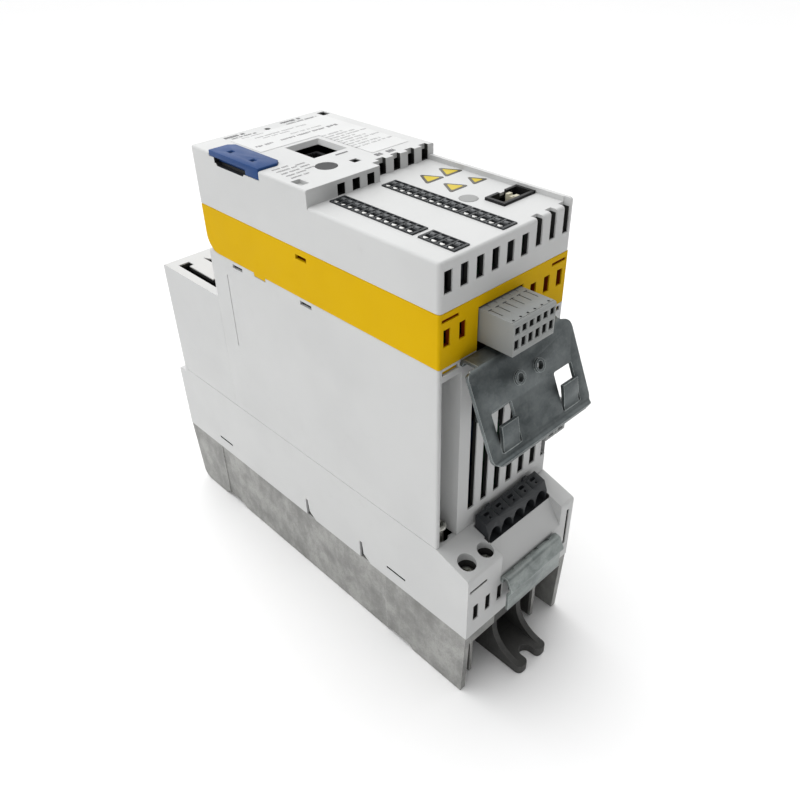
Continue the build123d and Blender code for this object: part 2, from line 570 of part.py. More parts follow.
with BuildPart() as safety_plug:
    with BuildSketch(side(PLUG_Y1)):
        outline((PLUG_BACK, PLUG_Z0), (PLUG_FRONT, PLUG_Z0), (PLUG_FRONT, PLUG_Z1 - 0.6),
                (PLUG_FRONT - 0.6, PLUG_Z1),
                (PLUG_BACK, PLUG_Z1))
    extrude(amount=PLUG_Y1 - PLUG_Y0)
    for y in safety_stations:
        for z in (172.4, 178.0):
            cut(PLUG_BACK, PLUG_BACK + 5.0, y - 0.5, y + 0.5, z - 0.5, z + 0.5)
        # two wire entries in the face
        cut(PLUG_FRONT - 6, PLUG_FRONT, y - 1.2, y + 1.2, 177.2, 180.0)
        cut(PLUG_FRONT - 6, PLUG_FRONT, y - 1.2, y + 1.2, 171.2, 175.0)
        # test point and release slot on the top
        with Locations((PLUG_FRONT - 1.9, y, PLUG_Z1)):
            Hole(radius=0.55, depth=3)
        cut(PLUG_FRONT - 12.6, PLUG_FRONT - 6.6, y - 0.22, y + 0.22, PLUG_Z1 - 1.2, PLUG_Z1)
        cut(PLUG_FRONT - 12.6, PLUG_FRONT - 12.1, y - 1.0, y + 1.0, PLUG_Z1 - 1.2, PLUG_Z1)

with BuildPart() as safety_plug_clamps:
    for y in safety_stations:
        for z in (171.8, 177.6):
            block(PLUG_FRONT - 5.9, PLUG_FRONT - 3.9, y - 0.9, y + 0.9, z, z + 0.5)

# ---------------------------------------------------------------- brake plug and its header
BRAKE_FRONT = 100.0
BRAKE_BACK = 82.0
brake_stations = row(BRAKE_Y0, BRAKE_PITCH, BRAKE_POLES)

with BuildPart() as brake_header:
    block(73.7, BODY_FRONT - WALL - 0.1, BRAKE_Y0 - 1.0, INNER - 0.1, BRAKE_Z0 - 1.2, BRAKE_Z1 + 1.2)
    cut(75.2, BODY_FRONT, BRAKE_Y0 - GAP, BRAKE_Y1 + GAP, BRAKE_Z0 - GAP, BRAKE_Z1 + GAP)
    for y in brake_stations:
        block(75.2, 86.0, y - 0.5, y + 0.5, 115.6, 116.6)

with BuildPart() as brake_plug:
    block(BRAKE_BACK, BRAKE_FRONT, BRAKE_Y0, BRAKE_Y1, BRAKE_Z0, BRAKE_Z1)
    fillet(edges().group_by(Axis.X)[-1], radius=0.4)
    for y in brake_stations:
        cut(BRAKE_BACK, BRAKE_BACK + 6, y - 0.65, y + 0.65, 115.4, 116.8)
        # wire entry with its release slot above, twice for each pole
        for z in (112.0, 118.6):
            cut(BRAKE_FRONT - 6, BRAKE_FRONT, y - 1.5, y + 1.5, z - 1.2, z + 1.4)
            cut(BRAKE_FRONT - 4, BRAKE_FRONT, y - 1.1, y + 1.1, z + 2.3, z + 3.7)

with BuildPart() as brake_board:
    block(72.0, 73.6, 12.0, INNER - 0.4, POWER_BOARD_Z + BOARD, BRAKE_Z1 + 2)

# ---------------------------------------------------------------- shield bracket
slant = atan2(SLANT_RUN, SLANT_DROP)
plate_length = (SLANT_RUN**2 + SLANT_DROP**2) ** 0.5
out_x = cos(slant)
out_z = sin(slant)
foot_x = RIDGE_X + SLANT_RUN
foot_z = RIDGE_Z - SLANT_DROP
plate_plane = Plane(origin=(RIDGE_X, BRACKET_Y, RIDGE_Z), x_dir=(0, 1, 0), z_dir=(out_x, 0, out_z))
CLAMP_HOLE_V = 9.1
CLAMP_HOLE_PITCH = 11.2
CLAMP_HOLE_R = 1.65
COLLAR_R = 2.6
COLLAR_HIGH = 1.5
WINDOW_OFFSET = 17.6
WINDOW_WIDE = 10.8
WINDOW_TOP = 15.0
WINDOW_BOTTOM = 31.0
TONGUE_WIDE = 8.8
TONGUE_TOP = 20.6
FLANGE_Y0 = -24.4
FLANGE_Y1 = 22.0
FLANGE_TAB = 12.0
CORNER = 4.0

with BuildPart() as shield_bracket:
    with BuildSketch(side(BRACKET_Y + BRACKET_HALF)):
        with BuildLine():
            Polyline((BODY_FRONT + 0.75, 152.0), (BODY_FRONT + 0.75, RIDGE_Z + 0.9),
                     (RIDGE_X - 0.4, RIDGE_Z + 0.9), (foot_x - 0.7, foot_z - 0.3), (foot_x + 1.4, foot_z - 1.0))
            offset(amount=SHEET / 2, kind=Kind.INTERSECTION)
        make_face()
    extrude(amount=2 * BRACKET_HALF)
    # the flange behind the ridge is narrower than the plate, and only its middle reaches down the housing
    for y0, y1 in ((BRACKET_Y - BRACKET_HALF, FLANGE_Y0), (FLANGE_Y1, BRACKET_Y + BRACKET_HALF)):
        cut(BODY_FRONT, RIDGE_X - 1.4, y0, y1, 150.0, RIDGE_Z + 3)
    for y0, y1 in ((FLANGE_Y0, BRACKET_Y - FLANGE_TAB), (BRACKET_Y + FLANGE_TAB, FLANGE_Y1)):
        cut(BODY_FRONT, BODY_FRONT + SHEET, y0, y1, 150.0, RIDGE_Z - 2)
    # rounded lower corners
    for way in (-1, 1):
        with BuildSketch(plate_plane):
            with Locations((way * BRACKET_HALF, -plate_length - 2)):
                Rectangle(2 * CORNER, 2 * CORNER)
            with Locations((way * (BRACKET_HALF - CORNER), CORNER - plate_length - 2)):
                Circle(CORNER, mode=Mode.SUBTRACT)
                inward = (Align.MAX if way > 0 else Align.MIN, Align.CENTER)
                Rectangle(2 * CORNER, 2 * CORNER, align=inward, mode=Mode.SUBTRACT)
        extrude(amount=5, both=True, mode=Mode.SUBTRACT)
    # windows, each with a tongue left standing that leans out
    for way in (-1, 1):
        with BuildSketch(plate_plane) as window:
            with Locations((way * WINDOW_OFFSET, -(WINDOW_TOP + WINDOW_BOTTOM) / 2)):
                Rectangle(WINDOW_WIDE, WINDOW_BOTTOM - WINDOW_TOP)
            fillet(window.vertices(), radius=0.8)
        extrude(amount=4, both=True, mode=Mode.SUBTRACT)
        tongue_y = BRACKET_Y + way * WINDOW_OFFSET
        with BuildSketch(side(tongue_y + TONGUE_WIDE / 2)):
            low = (RIDGE_X + out_z * (WINDOW_BOTTOM + 0.4), RIDGE_Z - out_x * (WINDOW_BOTTOM + 0.4))
            high = (RIDGE_X + out_z * TONGUE_TOP + 1.6, RIDGE_Z - out_x * TONGUE_TOP + 0.8)
            outline(low, high, (high[0] - SHEET * 0.95, high[1] - SHEET * 0.3),
                    (low[0] - SHEET * out_x, low[1] - SHEET * out_z))
        extrude(amount=TONGUE_WIDE)
    # drawn collars of the two clamp holes
    for way in (-0.5, 0.5):
        with BuildSketch(plate_plane):
            with Locations((way * CLAMP_HOLE_PITCH, -CLAMP_HOLE_V)):
                Circle(COLLAR_R)
        extrude(amount=COLLAR_HIGH)
        with BuildSketch(plate_plane):
            with Locations((way * CLAMP_HOLE_PITCH, -CLAMP_HOLE_V)):
                Circle(CLAMP_HOLE_R)
        extrude(amount=6, both=True, mode=Mode.SUBTRACT)

# ---------------------------------------------------------------- motor plug and its header
MOTOR_Z0 = 68.0
MOTOR_TOP = 85.0
ARCH_R = 3.1
motor_stations = row(MOTOR_Y0 + 0.6, MOTOR_PITCH, MOTOR_POLES)

with BuildPart() as motor_header:
    block(MOTOR_X0, MOTOR_X1, MOTOR_Y0, MOTOR_Y1, 57.2, MOTOR_Z0 - 0.3)
    for y in motor_stations:
        block(95.0, 96.2, y - 0.8, y + 0.8, MOTOR_Z0 - 0.4, MOTOR_Z0 + 5.0)

with BuildPart() as motor_plug:
    with BuildSketch(side(MOTOR_Y1)):
        outline((MOTOR_X0, MOTOR_Z0), (MOTOR_X1, MOTOR_Z0), (MOTOR_X1, 78.4), (MOTOR_X1 - 1.8, 83.2),
                (MOTOR_X0, MOTOR_TOP))
    extrude(amount=MOTOR_Y1 - MOTOR_Y0)
    for y in motor_stations:
        # arched wire entry in the sloping face
        with BuildSketch(end(MOTOR_X1 - 5.0)):
            with Locations((y, 78.6)):
                Circle(ARCH_R)
            with Locations((y, 77.4)):
                Rectangle(2 * ARCH_R, 2.4)
        extrude(amount=6, mode=Mode.SUBTRACT)
        # release slot in the top, and the socket for the header's blade
        cut(MOTOR_X0 + 1.6, MOTOR_X0 + 3.2, y - 1.6, y + 1.6, 81.0, MOTOR_TOP)
        cut(94.8, 96.4, y - 1.0, y + 1.0, MOTOR_Z0, MOTOR_Z0 + 5.6)
    for y in (MOTOR_Y0 + 7.4, MOTOR_Y1 - 7.4):
        block(MOTOR_X0 - 0.5, MOTOR_X0, y - 1.4, y + 1.4, 80.0, 86.0)

with BuildPart() as motor_clamps:
    for y in motor_stations:
        block(MOTOR_X1 - 4.9, MOTOR_X1 - 4.4, y - 2.0, y + 2.0, 76.6, 80.4)

# ---------------------------------------------------------------- clamp plate on the foot
with BuildPart() as clamp_plate:
    with BuildSketch(side(21.4)):
        with BuildLine():
            Polyline((END + 0.8, 58.0), (END + 0.8, 61.4), (END + 3.6, 61.4), (END + 6.0, 56.0), (END + 4.4, 53.0),
                     (END + 4.4, 43.6))
            offset(amount=0.7, kind=Kind.INTERSECTION)
        make_face()
    extrude(amount=36.0)

# ---------------------------------------------------------------- screws
def pan_screw(x, y, seat, radius, head, shank, length):
    """Pan-head screw standing head up, with a cross recess."""
    post(x, y, seat - length, seat, shank)
    post(x, y, seat, seat + head, radius)
    cut(x - radius * 0.6, x + radius * 0.6, y - 0.4, y + 0.4, seat + head / 2, seat + head)
    cut(x - 0.4, x + 0.4, y - radius * 0.6, y + radius * 0.6, seat + head / 2, seat + head)


with BuildPart() as foot_screws:
    for x, y, radius in foot_wells:
        post(x, y, WELL_FLOOR, WELL_FLOOR + 1.5, radius - 0.3)
        pan_screw(x, y, WELL_FLOOR + 1.5, radius - 0.5, 2.6, 1.4, 7.0)

with BuildPart() as earth_screw:
    pan_screw(85.0, -28.2, 83.0, 3.2, 2.4, 2.0, 16.8)

with BuildPart() as heatsink_screws:
    for x in (-85, 70):
        for y in (-26, 26):
            pan_screw(x, y, SINK_TOP + 2.0, 2.8, 2.2, 1.5, 6.5)

# ---------------------------------------------------------------- power electronics
with BuildPart() as thermal_pad:
    block(-32, 28, -20, 20, SINK_TOP, SINK_TOP + 0.5)

with BuildPart() as power_module:
    block(-31, 27, -19, 19, SINK_TOP + 0.5, SINK_TOP + 12.5)
    chamfer(edges().filter_by(Axis.Z), length=2)
    for x in (-26, -14, -2, 10, 22):
        for y in (-15, 15):
            block(x - 0.5, x + 0.5, y - 0.5, y + 0.5, SINK_TOP + 12.5, POWER_BOARD_Z)

with BuildPart() as power_board:
    block(-98.0, 89.0, -BOARD_HALF, BOARD_HALF, POWER_BOARD_Z, POWER_BOARD_Z + BOARD)
    block(89.0, 104.0, MOTOR_Y0 - 1, BOARD_HALF, POWER_BOARD_Z, POWER_BOARD_Z + BOARD)
    for x in (-85, 70):
        for y in (-26, 26):
            post(x, y, POWER_BOARD_Z, POWER_BOARD_Z + BOARD, 3.2, mode=Mode.SUBTRACT)

POWER_TOP = POWER_BOARD_Z + BOARD
with BuildPart() as dc_link_capacitors:
    for x in (-30, -2, 26, 54):
        post(x, 17, POWER_TOP, POWER_TOP + 50, 12.5)
    fillet(edges().group_by(Axis.Z)[-1], radius=1.2)

with BuildPart() as filter_choke:
    with Locations((-74, -12, POWER_TOP + 9)):
        Cylinder(15, 18)
        Cylinder(7, 18, mode=Mode.SUBTRACT)
    fillet(edges().filter_by(GeomType.CIRCLE), radius=2.5)

with BuildPart() as filter_capacitors:
    for x in (-88, -72):
        block(x - 6, x + 6, 8, 28, POWER_TOP, POWER_TOP + 24)
    fillet(edges().group_by(Axis.Z)[-1], radius=1.0)

with BuildPart() as precharge_relay:
    block(-42, -13, -28, -15, POWER_TOP, POWER_TOP + 16)
    fillet(edges().group_by(Axis.Z)[-1], radius=0.8)

with BuildPart() as current_sensors:
    for y in (-22, -8):
        block(48, 62, y - 5, y + 5, POWER_TOP, POWER_TOP + 12)
        cut(53, 57, y - 2, y + 2, POWER_TOP + 5, POWER_TOP + 12)

with BuildPart() as supply_transformer:
    block(0, 26, -27, -5, POWER_TOP, POWER_TOP + 22)
    block(4, 22, -29, -3, POWER_TOP + 4, POWER_TOP + 18)

with BuildPart() as mains_terminal:
    block(REAR_END + WALL + 0.2, -86.0, -18.6, 4.6, POWER_TOP + 24.8, 99.6)
    for y in row(-18.6, 7.73, 3):
        cut(REAR_END, REAR_END + 10, y - 2.7, y + 2.7, 86.0, 92.4)
        cut(REAR_END, REAR_END + 8, y - 1.8, y + 1.8, 94.6, 98.0)

with BuildPart() as mains_clamps:
    for y in row(-18.6, 7.73, 3):
        block(REAR_END + 9.4, REAR_END + 9.9, y - 2.2, y + 2.2, 86.6, 92.0)

# ---------------------------------------------------------------- upper boards
with BuildPart() as riser_board:
    block(-47.6, -46.0, -25, 25, POWER_TOP + 0.4, SAFETY_BOARD_Z - 0.4)

with BuildPart() as riser_connectors:
    block(-49.1, -48.0, -20, 20, POWER_TOP + 1, POWER_TOP + 8)
    block(-45.6, -42.0, -20, 20, SAFETY_BOARD_Z - 8, SAFETY_BOARD_Z)

with BuildPart() as safety_board:
    block(-41.0, 87.6, -BOARD_HALF, BOARD_HALF, SAFETY_BOARD_Z, SAFETY_BOARD_Z + BOARD)

with BuildPart() as stack_connector:
    block(-30, 10, 25, 30, SAFETY_BOARD_Z + BOARD, CONTROL_BOARD_Z)

with BuildPart() as control_board:
    block(-48.6, 87.6, -BOARD_HALF, BOARD_HALF, CONTROL_BOARD_Z, CONTROL_BOARD_Z + BOARD)

with BuildPart() as board_spacers:
    for x in (-36, 68):
        for y in (-28, 20):
            with BuildSketch(level(SAFETY_BOARD_Z + BOARD)):
                with Locations((x, y)):
                    RegularPolygon(2.75, 6)
            extrude(amount=CONTROL_BOARD_Z - SAFETY_BOARD_Z - BOARD)

with BuildPart() as module_socket:
    block(KEY_X0 - 1, KEY_X1 + 1, KEY_Y0 + 0.6, KEY_Y1 + 1, CONTROL_BOARD_Z + BOARD, KEY_BOTTOM - 0.3)

with BuildPart() as logic_chips:
    for x, y, wide in ((-6, 18, 14), (16, 20, 10), (-28, 16, 12)):
        block(x - wide / 2, x + wide / 2, y - wide / 2, y + wide / 2, CONTROL_BOARD_Z + BOARD,
              CONTROL_BOARD_Z + BOARD + 1.2)

# ---------------------------------------------------------------- write every piece
pieces = {
    "heatsink": heatsink,
    "base_housing": base_housing,
    "main_housing": main_housing,
    "rear_housing": rear_housing,
    "safety_frame": safety_frame,
    "front_cover": front_cover,
    "memory_module": memory_module,
    "diagnostic_socket": diagnostic_socket,
    "diagnostic_contacts": diagnostic_contacts,
    "status_window": status_window,
    "light_pipe": light_pipe,
    "status_led": status_led,
    "blanking_disc": blanking_disc,
    "label_film": label_film,
    "triangle_stickers": triangle_stickers,
    "option_header": option_header,
    "option_pins": option_pins,
    "jumper_cap": jumper_cap,
    "safety_header": safety_header,
    "safety_header_pins": safety_header_pins,
    "safety_plug": safety_plug,
    "safety_plug_clamps": safety_plug_clamps,
    "brake_header": brake_header,
    "brake_plug": brake_plug,
    "brake_board": brake_board,
    "shield_bracket": shield_bracket,
    "motor_header": motor_header,
    "motor_plug": motor_plug,
    "motor_clamps": motor_clamps,
    "clamp_plate": clamp_plate,
    "foot_screws": foot_screws,
    "earth_screw": earth_screw,
    "heatsink_screws": heatsink_screws,
    "thermal_pad": thermal_pad,
    "power_module": power_module,
    "power_board": power_board,
    "dc_link_capacitors": dc_link_capacitors,
    "filter_choke": filter_choke,
    "filter_capacitors": filter_capacitors,
    "precharge_relay": precharge_relay,
    "current_sensors": current_sensors,
    "supply_transformer": supply_transformer,
    "mains_terminal": mains_terminal,
    "mains_clamps": mains_clamps,
    "riser_board": riser_board,
    "riser_connectors": riser_connectors,
    "safety_board": safety_board,
    "stack_connector": stack_connector,
    "control_board": control_board,
    "board_spacers": board_spacers,
    "module_socket": module_socket,
    "logic_chips": logic_chips,
    **control_strips,
    **clamp_rows,
}

os.makedirs("parts", exist_ok=True)
for name, piece in pieces.items():
    piece.part.label = name
    export_step(piece.part, f"parts/{name}.step")
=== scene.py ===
"""Visual model of a book-size servo drive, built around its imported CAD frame."""

import json
import logging
import math
import random
from dataclasses import dataclass
from enum import Enum
from typing import Callable, Iterable, Optional, Sequence, Union

import bpy
from mathutils import Matrix, Vector


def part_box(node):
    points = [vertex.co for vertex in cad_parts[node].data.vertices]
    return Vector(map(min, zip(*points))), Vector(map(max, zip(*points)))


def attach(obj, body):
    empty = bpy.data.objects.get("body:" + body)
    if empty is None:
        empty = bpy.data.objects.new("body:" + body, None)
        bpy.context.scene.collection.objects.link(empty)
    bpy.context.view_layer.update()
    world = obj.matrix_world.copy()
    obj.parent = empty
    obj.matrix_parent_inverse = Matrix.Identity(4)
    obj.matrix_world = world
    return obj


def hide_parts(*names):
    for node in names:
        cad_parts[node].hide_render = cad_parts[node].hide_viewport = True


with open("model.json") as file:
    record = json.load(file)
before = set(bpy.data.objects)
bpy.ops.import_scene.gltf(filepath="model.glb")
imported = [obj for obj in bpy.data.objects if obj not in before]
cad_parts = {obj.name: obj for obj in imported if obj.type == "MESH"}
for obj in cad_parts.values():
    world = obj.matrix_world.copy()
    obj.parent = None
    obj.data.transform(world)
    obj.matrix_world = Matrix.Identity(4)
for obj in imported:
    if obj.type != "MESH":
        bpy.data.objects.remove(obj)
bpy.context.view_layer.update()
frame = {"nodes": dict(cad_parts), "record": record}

log = logging.getLogger("servo_drive")

MM = 0.001
Colour = tuple[float, float, float]
Point = tuple[float, float]
Span = tuple[float, float]
Cavity = tuple[Span, Span, Span]
Piece = bpy.types.Object
Number = Union[float, "Value"]


class Axis(Enum):
    """Direction in which a profile is drawn out."""

    X = 0
    Y = 1
    Z = 2


class Body(Enum):
    """Bodies of the drive that pieces ride on."""

    DRIVE = "drive"
    MEMORY_CARD = "memory_card"
    SAFETY = "safety_connector"
    MOTOR = "motor_connector"
    BRAKE = "brake_connector"
    JUMPER = "jumper"


# ------------------------------------------------------------------ modelling moves
def only(*pieces: Piece) -> None:
    """Select these pieces alone, the first one active."""
    bpy.ops.object.select_all(action="DESELECT")
    for piece in pieces:
        piece.select_set(True)
    bpy.context.view_layer.objects.active = pieces[0]


def settle(piece: Piece) -> Piece:
    """Bring a piece's place, turn and scale into its mesh."""
    only(piece)
    bpy.ops.object.transform_apply(location=True, rotation=True, scale=True)
    return piece


def seat(node: str) -> tuple[Vector, Vector]:
    """Lowest and highest corner of a CAD node, in millimetres."""
    low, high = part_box(node)
    return low / MM, high / MM


def block(x: Span, y: Span, z: Span) -> Piece:
    """Box between six limits, in millimetres."""
    bpy.ops.object.select_all(action="DESELECT")
    middle = Vector((sum(x), sum(y), sum(z))) * (MM / 2)
    bpy.ops.mesh.primitive_cube_add(size=1, location=middle)
    made = bpy.context.object
    made.scale = Vector((x[1] - x[0], y[1] - y[0], z[1] - z[0])) * MM
    return settle(made)


def rod(middle: Sequence[float], radius: float, length: float, axis: Axis = Axis.Z, sides: int = 32) -> Piece:
    """Round bar about its middle, along one axis, in millimetres."""
    bpy.ops.object.select_all(action="DESELECT")
    bpy.ops.mesh.primitive_cylinder_add(
        vertices=sides, radius=radius * MM, depth=length * MM, location=Vector(middle) * MM
    )
    made = bpy.context.object
    if axis is Axis.X:
        made.rotation_euler = (0, math.pi / 2, 0)
    elif axis is Axis.Y:
        made.rotation_euler = (math.pi / 2, 0, 0)
    return settle(made)


def funnel(middle: Sequence[float], low: Point, high: Point, depth: float, axis: Axis = Axis.Z) -> Piece:
    """Four-sided tapered plug, used to sink a bevelled mouth.

    Args:
        middle: Centre of the plug.
        low: Its two side lengths at the low end of the axis.
        high: Its two side lengths at the high end.
        depth: Its length along the axis.
        axis: Direction from the low end to the high end.

    Returns:
        The plug.
    """
    bpy.ops.object.select_all(action="DESELECT")
    bpy.ops.mesh.primitive_cube_add(size=1, location=(0, 0, 0))
    made = bpy.context.object
    first, second = [other for other in Axis if other is not axis]
    for corner in made.data.vertices:
        sides = high if corner.co[axis.value] > 0 else low
        corner.co[first.value] *= sides[0] * MM
        corner.co[second.value] *= sides[1] * MM
        corner.co[axis.value] *= depth * MM
    made.location = Vector(middle) * MM
    return settle(made)


def prism(profile: Sequence[Point], axis: Axis, span: Span) -> Piece:
    """Draw a closed profile out along an axis.

    Args:
        profile: Corners in the two other axes, in their order.
        axis: Direction of the draw.
        span: Start and end along it.

    Returns:
        The solid.
    """
    bpy.ops.object.select_all(action="DESELECT")
    bpy.ops.mesh.primitive_circle_add(vertices=len(profile), radius=MM, fill_type="NGON")
    made = bpy.context.object
    for corner, (u, v) in zip(made.data.vertices, profile):
        place = [u, v]
        place.insert(axis.value, span[0])
        corner.co = Vector(place) * MM
    way = Vector((0, 0, 0))
    way[axis.value] = (span[1] - span[0]) * MM
    bpy.ops.object.mode_set(mode="EDIT")
    bpy.ops.mesh.select_all(action="SELECT")
    bpy.ops.mesh.extrude_region_move(TRANSFORM_OT_translate={"value": way})
    bpy.ops.mesh.select_all(action="SELECT")
    bpy.ops.mesh.normals_make_consistent(inside=False)
    bpy.ops.object.mode_set(mode="OBJECT")
    return settle(made)


def gather(pieces: Sequence[Piece]) -> Piece:
    """Join pieces into the first one."""
    only(*pieces)
    if len(pieces) > 1:
        bpy.ops.object.join()
    return bpy.context.object


def repeat(piece: Piece, shifts: Iterable[Sequence[float]]) -> Piece:
    """Copy a piece to each shift, with its own mesh, and join the copies; the pattern piece goes.

    Args:
        piece: The pattern.
        shifts: Offsets of the copies, in millimetres.

    Returns:
        One piece that holds all copies.
    """
    copies = []
    for shift in shifts:
        copy = piece.copy()
        copy.data = piece.data.copy()
        bpy.context.collection.objects.link(copy)
        copy.location = Vector(shift) * MM
        copies.append(copy)
    bpy.data.objects.remove(piece)
    return settle(gather(copies))


def combine(piece: Piece, other: Piece, operation: str, overlapping: bool = False) -> Piece:
    """Cut or unite a piece with another, which goes."""
    only(piece)
    bpy.ops.object.modifier_add(type="BOOLEAN")
    change = piece.modifiers[-1]
    change.operation = operation
    change.solver = "EXACT"
    change.use_self = overlapping
    change.object = other
    bpy.ops.object.modifier_apply(modifier=change.name)
    bpy.data.objects.remove(other)
    return piece


def carve(piece: Piece, *cutters: Piece) -> Piece:
    """Cut every cutter out of a piece."""
    return combine(piece, gather(cutters), "DIFFERENCE", overlapping=len(cutters) > 1)


def soften(piece: Piece, width: float, segments: int = 2, angle: float = 30.0) -> Piece:
    """Round a piece's sharp edges and shade the rest smooth.

    Args:
        piece: The piece.
        width: Width of the rounding, in millimetres.
        segments: Faces across it.
        angle: Smallest angle between two faces that counts as an edge, in degrees.

    Returns:
        The piece.
    """
    only(piece)
    bpy.ops.object.modifier_add(type="BEVEL")
    rounding = piece.modifiers[-1]
    rounding.width = width * MM
    rounding.segments = segments
    rounding.limit_method = "ANGLE"
    rounding.angle_limit = math.radians(angle)
    bpy.ops.object.modifier_apply(modifier=rounding.name)
    bpy.ops.object.shade_smooth_by_angle(angle=math.radians(38))
    return piece


def folded(points: Sequence[Point], radius: float, thick: float, steps: int = 6) -> list[Point]:
    """Outline of a bent sheet.

    Args:
        points: Corners of its middle line.
        radius: Bend radius of the middle line.
        thick: Sheet thickness.
        steps: Points on each bend.

    Returns:
        The closed outline.
    """
    line = [Vector(points[0])]
    for before, corner, after in zip(points, points[1:], points[2:]):
        here = Vector(corner)
        back = (Vector(before) - here).normalized()
        ahead = (Vector(after) - here).normalized()
        inner = math.acos(max(-1.0, min(1.0, back.dot(ahead))))
        reach = radius / math.tan(inner / 2)
        for step in range(steps + 1):
            share = step / steps
            start = here + back * reach
            stop = here + ahead * reach
            line.append(start * (1 - share) ** 2 + here * 2 * share * (1 - share) + stop * share**2)
    line.append(Vector(points[-1]))
    left, right = [], []
    for index, here in enumerate(line):
        before = line[max(index - 1, 0)]
        after = line[min(index + 1, len(line) - 1)]
        run = (after - before).normalized()
        across = Vector((-run.y, run.x)) * (thick / 2)
        left.append(tuple(here + across))
        right.append(tuple(here - across))
    return left + right[::-1]


def rounded(x: Span, y: Span, radius: float, steps: int = 5) -> list[Point]:
    """Outline of a rectangle with round corners."""
    outline = []
    for turn, (cx, cy) in enumerate(((x[1], y[1]), (x[0], y[1]), (x[0], y[0]), (x[1], y[0]))):
        mx = cx - radius if cx == x[1] else cx + radius
        my = cy - radius if cy == y[1] else cy + radius
        for step in range(steps + 1):
            angle = math.pi / 2 * (turn + step / steps)
            outline.append((mx + radius * math.cos(angle), my + radius * math.sin(angle)))
    return outline


# ------------------------------------------------------------------ shaders
class Value:
    """One number that varies over a surface; arithmetic on it adds Math nodes."""

    def __init__(self, shader: "Shader", socket: bpy.types.NodeSocket) -> None:
        """Wrap a socket of a shader."""
        self.shader = shader
        self.socket = socket

    def __add__(self, other: Number) -> "Value":
        """Sum."""
        return self.shader.math("ADD", self, other)

    __radd__ = __add__

    def __sub__(self, other: Number) -> "Value":
        """Difference."""
        return self.shader.math("SUBTRACT", self, other)

    def __rsub__(self, other: Number) -> "Value":
        """Difference from a number."""
        return self.shader.math("SUBTRACT", other, self)

    def __mul__(self, other: Number) -> "Value":
        """Product."""
        return self.shader.math("MULTIPLY", self, other)

    __rmul__ = __mul__

    def __gt__(self, other: Number) -> "Value":
        """One where this is larger, else zero."""
        return self.shader.math("GREATER_THAN", self, other)

    def __lt__(self, other: Number) -> "Value":
        """One where this is smaller, else zero."""
        return self.shader.math("LESS_THAN", self, other)

    def span(self, low: float, high: float) -> "Value":
        """Zero below low, one above high, smooth between."""
        made = self.shader.node(
            "ShaderNodeMapRange",
            {"interpolation_type": "SMOOTHSTEP"},
            {"Value": self, "From Min": low, "From Max": high},
        )
        return Value(self.shader, made.outputs["Result"])


